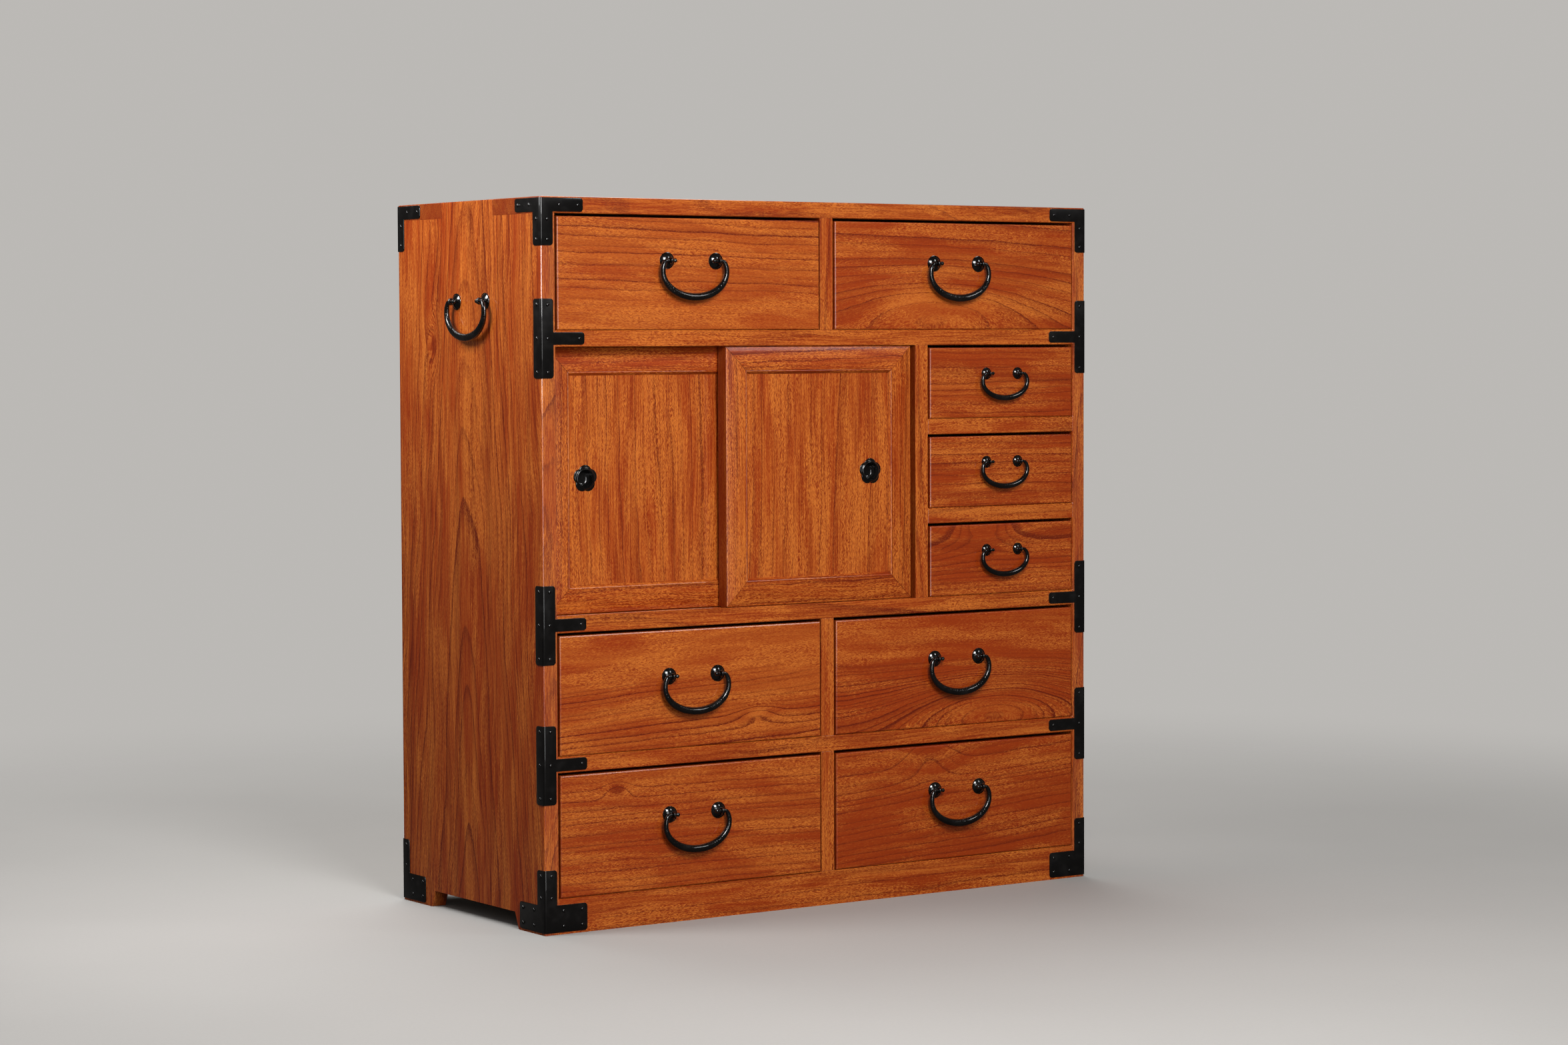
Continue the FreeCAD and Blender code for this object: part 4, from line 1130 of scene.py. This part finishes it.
def bracket_outline(kind, level=0.0):
    """Half of a bracket's flat outline from the fold outwards: (distance, height, rounded)."""
    low, high = level - TEE_HALF, level + TEE_HALF
    arm_low, arm_high = level - TEE_ARM_WIDTH / 2, level + TEE_ARM_WIDTH / 2
    top = chest_top()
    top_edge = top - CORNER_ROUND
    return {
        "tee": [
            (LEAF_WIDTH, low, True),
            (LEAF_WIDTH, arm_low, False),
            (TEE_ARM, arm_low, True),
            (TEE_ARM, arm_high, True),
            (LEAF_WIDTH, arm_high, False),
            (LEAF_WIDTH, high, True),
        ],
        "strip": [(LEAF_WIDTH, low, True), (LEAF_WIDTH, high, True)],
        "top": [
            (LEAF_WIDTH, top - TOP_LEG, True),
            (LEAF_WIDTH, top_edge - TOP_ARM_WIDTH, False),
            (TOP_ARM, top_edge - TOP_ARM_WIDTH, True),
            (TOP_ARM, top_edge, True),
        ],
        "foot": [
            (FOOT_ARM, FOOT_PLATE_LIFT, True),
            (FOOT_ARM, FOOT_PLATE_TOP, True),
            (LEAF_WIDTH, FOOT_PLATE_TOP, False),
            (LEAF_WIDTH, FOOT_LEG, True),
        ],
    }[kind]


def unrolled(distance):
    """Place along the flat sheet of a distance from the case's corner."""
    return distance - CORNER_ROUND + HALF_FOLD


def bent(corner, left, front):
    """Bend a point of the flat sheet round the left front corner; all in millimetres."""
    along, out, height = corner
    centre = Vector((left + CORNER_ROUND, front + CORNER_ROUND, height))
    if along > HALF_FOLD:
        return Vector((centre.x + along - HALF_FOLD, front - out, height))
    if along < -HALF_FOLD:
        return Vector((left - out, centre.y - along - HALF_FOLD, height))
    turn = along / CORNER_ROUND - 3 * math.pi / 4
    reach = CORNER_ROUND + out
    return centre + Vector((reach * math.cos(turn), reach * math.sin(turn), 0))


def folded_bracket(front_half, side_half, plate, left, front):
    """Bracket cut from one sheet, its corners rounded, then folded round the case's corner."""
    shape = bmesh.new()
    outline = [(unrolled(distance), height, soft) for distance, height, soft in front_half]
    outline += [(-unrolled(distance), height, soft) for distance, height, soft in reversed(side_half)]
    corners = [shape.verts.new((along, 0.0, height)) for along, height, _ in outline]
    shape.faces.new(corners)
    soft = [corner for corner, (_, _, rounded) in zip(corners, outline) if rounded]
    bmesh.ops.bevel(
        shape, geom=soft, offset=LEAF_CORNER, offset_type="OFFSET", affect="VERTICES",
        segments=5, profile=0.5, material=-1,
    )
    outer = set(raised(shape, (0, plate, 0)))
    rim = [edge for edge in shape.edges if set(edge.verts) <= outer]
    bmesh.ops.bevel(
        shape, geom=rim, offset=0.3 * plate, offset_type="OFFSET", affect="EDGES",
        segments=2, profile=0.5, material=-1,
    )
    for i in range(FOLD_SPANS + 1):
        crease = (HALF_FOLD * (2 * i / FOLD_SPANS - 1), 0, 0)
        bmesh.ops.bisect_plane(shape, geom=everything(shape), plane_co=crease, plane_no=AXES["X"])
    for corner in shape.verts:
        corner.co = bent(corner.co, left, front)
    bmesh.ops.recalc_face_normals(shape, faces=shape.faces)
    return shape


def case_corner():
    """Left and front faces of the case and the middle of its depth, in millimetres."""
    low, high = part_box("side_left")
    return low.x / MM, low.y / MM, (low.y + high.y) / 2 / MM


def shelf_levels():
    """Heights of the tee brackets' middles, in millimetres."""
    return [middle_of(node).z / MM for node in SHELVES]


def at_corners(target, source, everywhere):
    """Move a left front piece to the left and right front, and behind too if it goes everywhere."""
    _, _, depth = case_corner()
    behind = Matrix.Translation((0, 2 * depth * MM, 0)) @ Matrix.Diagonal((1, -1, 1, 1))
    places = [Matrix.Identity(4), Matrix.Diagonal((-1, 1, 1, 1))]
    if everywhere:
        places += [behind @ place for place in places]
    for place in places:
        add_copy(target, source, place @ Matrix.Scale(MM, 4))
    source.free()


class TANSU_OT_brackets(bpy.types.Operator):
    """Build the folded iron corner brackets"""

    bl_idname = "tansu.brackets"
    bl_label = "Corner brackets"

    def execute(self, context):
        material = iron(context, "iron_plate", 0.7, size=9.0, dents=0.05, tooth=0.02, gloss=0.28)
        plate = context.scene.tansu_iron.plate / MM
        left, front, _ = case_corner()
        corners = [bracket_outline(kind) for kind in ("top", "foot")]
        tees = [[bracket_outline(kind, level) for kind in ("tee", "strip")] for level in shelf_levels()]
        for node, sheets, everywhere in (
            ("corner_brackets", [(leaf, leaf) for leaf in corners], True),
            ("tee_brackets", tees, False),
        ):
            shape = bmesh.new()
            for front_half, side_half in sheets:
                at_corners(shape, folded_bracket(front_half, side_half, plate, left, front), everywhere)
            new_piece(node + "_folded", shape, material, "case", node, 30.0)
        return {"FINISHED"}


def nail_places():
    """Nails of the left front corner as (distance, height): on both faces, then of the tees before and beside."""
    top = chest_top()
    row = top - CORNER_ROUND - TOP_ARM_WIDTH / 2
    low = top - TOP_LEG + NAIL_EDGE
    step = TOP_LEG - TOP_ARM_WIDTH - TOP_NAIL_STEP
    foot_low = FOOT_PLATE_LIFT + NAIL_EDGE
    foot_high = FOOT_PLATE_TOP - NAIL_EDGE
    foot_top = FOOT_LEG - NAIL_EDGE
    leaf = [
        (NAIL_SECOND, row),
        (TOP_ARM - NAIL_EDGE, row),
        (NAIL_MIDDLE, low + step),
        (NAIL_MIDDLE, low),
        (NAIL_SECOND, foot_low),
        (NAIL_SECOND, foot_high),
        (FOOT_ARM - NAIL_EDGE, foot_low),
        (FOOT_ARM - NAIL_EDGE, foot_high),
        (NAIL_MIDDLE, foot_top - FOOT_NAIL_STEP),
        (NAIL_MIDDLE, foot_top),
    ]
    rise = TEE_HALF - NAIL_EDGE
    levels = shelf_levels()
    strips = [(NAIL_MIDDLE, level + off) for level in levels for off in (-rise, 0.0, rise)]
    return leaf, strips + [(TEE_ARM - NAIL_EDGE, level) for level in levels], strips


class TANSU_OT_nails(bpy.types.Operator):
    """Build the dome-headed nails of the brackets"""

    bl_idname = "tansu.nails"
    bl_label = "Nails"

    def execute(self, context):
        settings = context.scene.tansu_iron
        material = iron(context, "iron_nail", 1.0, size=1.2, dents=0.2, tooth=0.04, gloss=0.15)
        left, front, _ = case_corner()
        plate = settings.plate / MM
        radius = settings.nail_radius / MM
        head = bmesh.new()
        upright = Matrix.Rotation(QUARTER, 4, "X")
        bmesh.ops.create_uvsphere(head, u_segments=12, v_segments=8, radius=radius, matrix=upright)
        cut_off(head, (0, 0, 0), (0, 1, 0))
        bmesh.ops.scale(head, verts=head.verts, vec=(1, settings.nail_height / MM / radius, 1))
        on_side = Matrix.Rotation(-QUARTER, 4, "Z")
        leaf, tees_front, tees_side = nail_places()
        shape = bmesh.new()
        for front_places, side_places, everywhere in ((leaf, leaf, True), (tees_front, tees_side, False)):
            nails = bmesh.new()
            for distance, height in front_places:
                add_copy(nails, head, Matrix.Translation((left + distance, front - plate, height)))
            for distance, height in side_places:
                add_copy(nails, head, Matrix.Translation((left - plate, front + distance, height)) @ on_side)
            at_corners(shape, nails, everywhere)
        head.free()
        new_piece("bracket_nails_domed", shape, material, "case", "bracket_nails", 60.0)
        return {"FINISHED"}


# ---- Studio

CAMERA_PLACE = (-2.3428, -3.4898, 0.6440)
CAMERA_YAW = math.radians(34.394)
CAMERA_PITCH = math.radians(-2.902)
CAMERA_ROLL = math.radians(-0.209)
# Name, place, aim, width and height of every lamp
LAMPS = (
    ("key", (-0.6, -1.72, 1.35), (-0.12, -0.15, 0.5), 0.65, 0.65),
    ("side", (-0.92, 0.06, 1.12), (-0.375, 0.04, 0.66), 0.3, 0.4),
    ("edge", (-0.62, -2.9, 0.58), (-0.1, -0.16, 0.5), 0.95, 1.1),
    ("sheen", (1.5, -2.2, 2.1), (0.0, -0.15, 0.5), 0.6, 0.6),
    ("back", (0.4, 1.9, 2.6), (0.2, 1.1, 0.0), 2.5, 2.5),
    ("fill", (-2.4, -3.6, 1.3), (0.0, 0.0, 0.4), 2.0, 2.0),
)
BLACK = (0.0, 0.0, 0.0, 1.0)
# Share of the floor and backdrop that polished things mirror
MIRRORED = 0.10


def studio_camera(context):
    """Camera level with the chest's upper half, to its front left."""
    data = bpy.data.cameras.new("studio_camera")
    data.sensor_fit = "HORIZONTAL"
    data.sensor_width = 36.0
    data.lens = context.scene.tansu_studio.lens
    data.clip_start = 0.05
    data.clip_end = 100.0
    camera = bpy.data.objects.new("studio_camera", data)
    context.scene.collection.objects.link(camera)
    camera.matrix_world = (
        Matrix.Translation(CAMERA_PLACE)
        @ Matrix.Rotation(-CAMERA_YAW, 4, "Z")
        @ Matrix.Rotation(QUARTER + CAMERA_PITCH, 4, "X")
        @ Matrix.Rotation(CAMERA_ROLL, 4, "Z")
    )
    context.scene.camera = camera


def studio_lamp(context, name, place, aim, width, height):
    """Large soft lamp aimed at a point; only the fill lamp has no mirror image."""
    data = bpy.data.lights.new(name + "_lamp", "AREA")
    data.shape = "RECTANGLE"
    data.size = width
    data.size_y = height
    data.energy = getattr(context.scene.tansu_studio, name)
    lamp = bpy.data.objects.new(name + "_lamp", data)
    context.scene.collection.objects.link(lamp)
    lamp.location = place
    lamp.rotation_mode = "QUATERNION"
    lamp.rotation_quaternion = (Vector(aim) - Vector(place)).to_track_quat("-Z", "Y")
    lamp.visible_camera = False
    lamp.visible_glossy = name != "fill"


def background_share(graph):
    """One for what the camera sees, a part for what polished things mirror."""
    path = graph.add("ShaderNodeLightPath").outputs
    seen = graph.sum("MAXIMUM", path["Is Camera Ray"], path["Is Transmission Ray"])
    return graph.sum("MAXIMUM", seen, graph.sum("MULTIPLY", path["Is Glossy Ray"], MIRRORED))


def not_mirrored(graph):
    """Nought for what polished things mirror, one for everything else."""
    return graph.sum("SUBTRACT", 1.0, graph.add("ShaderNodeLightPath").outputs["Is Glossy Ray"])


def pale_world(context):
    """Even surroundings that look as pale as the floor."""
    studio = context.scene.tansu_studio
    world = bpy.data.worlds.new("studio")
    context.scene.world = world
    graph = Graph(world)
    dimmed = not_mirrored(graph) * studio.sky
    light = graph.add("ShaderNodeBackground", {"Color": (1.0, 0.985, 0.96, 1.0), "Strength": dimmed})
    seen = graph.add("ShaderNodeBackground", {"Color": with_alpha(studio.backdrop), "Strength": 1.0})
    inputs = {0: background_share(graph), 1: light.outputs[0], 2: seen.outputs[0]}
    graph.add("ShaderNodeOutputWorld", {"Surface": graph.add("ShaderNodeMixShader", inputs).outputs[0]})


def pale_floor(context):
    """Round pale floor that fades into the surroundings away from the chest."""
    studio = context.scene.tansu_studio
    shape = bmesh.new()
    bmesh.ops.create_circle(shape, cap_ends=True, segments=96, radius=6.0)
    mesh = bpy.data.meshes.new("floor")
    shape.to_mesh(mesh)
    shape.free()
    floor = bpy.data.objects.new("floor", mesh)
    context.scene.collection.objects.link(floor)
    material = bpy.data.materials.new("pale_floor")
    graph = Graph(material)
    place = graph.place()
    mottle = graph.cloud(place, (0.35, 0.35, 0.35), 4.0)
    speck = graph.cloud(place, (0.004, 0.004, 0.004), 2.0)
    pale, deep, dim = (
        with_alpha([min(1.0, share * c) for c in studio.floor]) for share in (1.06, 0.93, studio.bounce)
    )
    seen = graph.blend(mottle * 0.6 + speck * 0.4, deep, pale)
    thrown = graph.blend(not_mirrored(graph), BLACK, dim)
    surface = graph.add("ShaderNodeBsdfPrincipled", {
        "Base Color": graph.blend(background_share(graph), thrown, seen),
        "Roughness": 0.7,
        "Specular IOR Level": 0.1,
    })
    clear = graph.add("ShaderNodeBsdfTransparent")
    away = graph.vector("LENGTH", graph.vector("MULTIPLY", place, (1.0, 1.0, 0.0)))
    inputs = {0: graph.ramp(away, 0.8, 2.2), 1: surface.outputs[0], 2: clear.outputs[0]}
    graph.add("ShaderNodeOutputMaterial", {"Surface": graph.add("ShaderNodeMixShader", inputs).outputs[0]})
    mesh.materials.append(material)


class TANSU_OT_studio(bpy.types.Operator):
    """Set up the floor, lamps and camera"""

    bl_idname = "tansu.studio"
    bl_label = "Studio"

    def execute(self, context):
        context.scene.view_settings.view_transform = "Standard"
        studio_camera(context)
        for lamp in LAMPS:
            studio_lamp(context, *lamp)
        pale_world(context)
        pale_floor(context)
        return {"FINISHED"}


# ---- Panel

OPERATORS = (
    TANSU_OT_case,
    TANSU_OT_drawers,
    TANSU_OT_doors,
    TANSU_OT_pulls,
    TANSU_OT_bails,
    TANSU_OT_posts,
    TANSU_OT_brackets,
    TANSU_OT_nails,
    TANSU_OT_studio,
)


class TANSU_PT_panel(bpy.types.Panel):
    """Panel that lists the steps of dressing the chest"""

    bl_label = "Small Tansu Chest"
    bl_idname = "TANSU_PT_panel"
    bl_space_type = "VIEW_3D"
    bl_region_type = "UI"
    bl_category = "Tansu"

    def draw(self, context):
        for group in (context.scene.tansu_wood, context.scene.tansu_iron, context.scene.tansu_studio):
            for name in group.__annotations__:
                self.layout.prop(group, name)
        for operator in OPERATORS:
            self.layout.operator(operator.bl_idname)


SETTINGS = (("tansu_wood", TansuWood), ("tansu_iron", TansuIron), ("tansu_studio", TansuStudio))


def register():
    """Register the settings, the steps and the panel."""
    for name, group in SETTINGS:
        bpy.utils.register_class(group)
        setattr(bpy.types.Scene, name, bpy.props.PointerProperty(type=group))
    for operator in OPERATORS:
        bpy.utils.register_class(operator)
    bpy.utils.register_class(TANSU_PT_panel)


def unregister():
    """Take everything off again."""
    bpy.utils.unregister_class(TANSU_PT_panel)
    for operator in reversed(OPERATORS):
        bpy.utils.unregister_class(operator)
    for name, group in reversed(SETTINGS):
        delattr(bpy.types.Scene, name)
        bpy.utils.unregister_class(group)


def main():
    """Dress the chest step by step."""
    register()
    for operator in OPERATORS:
        getattr(bpy.ops.tansu, operator.bl_idname.split(".")[1])()


if __name__ == "__main__":
    main()
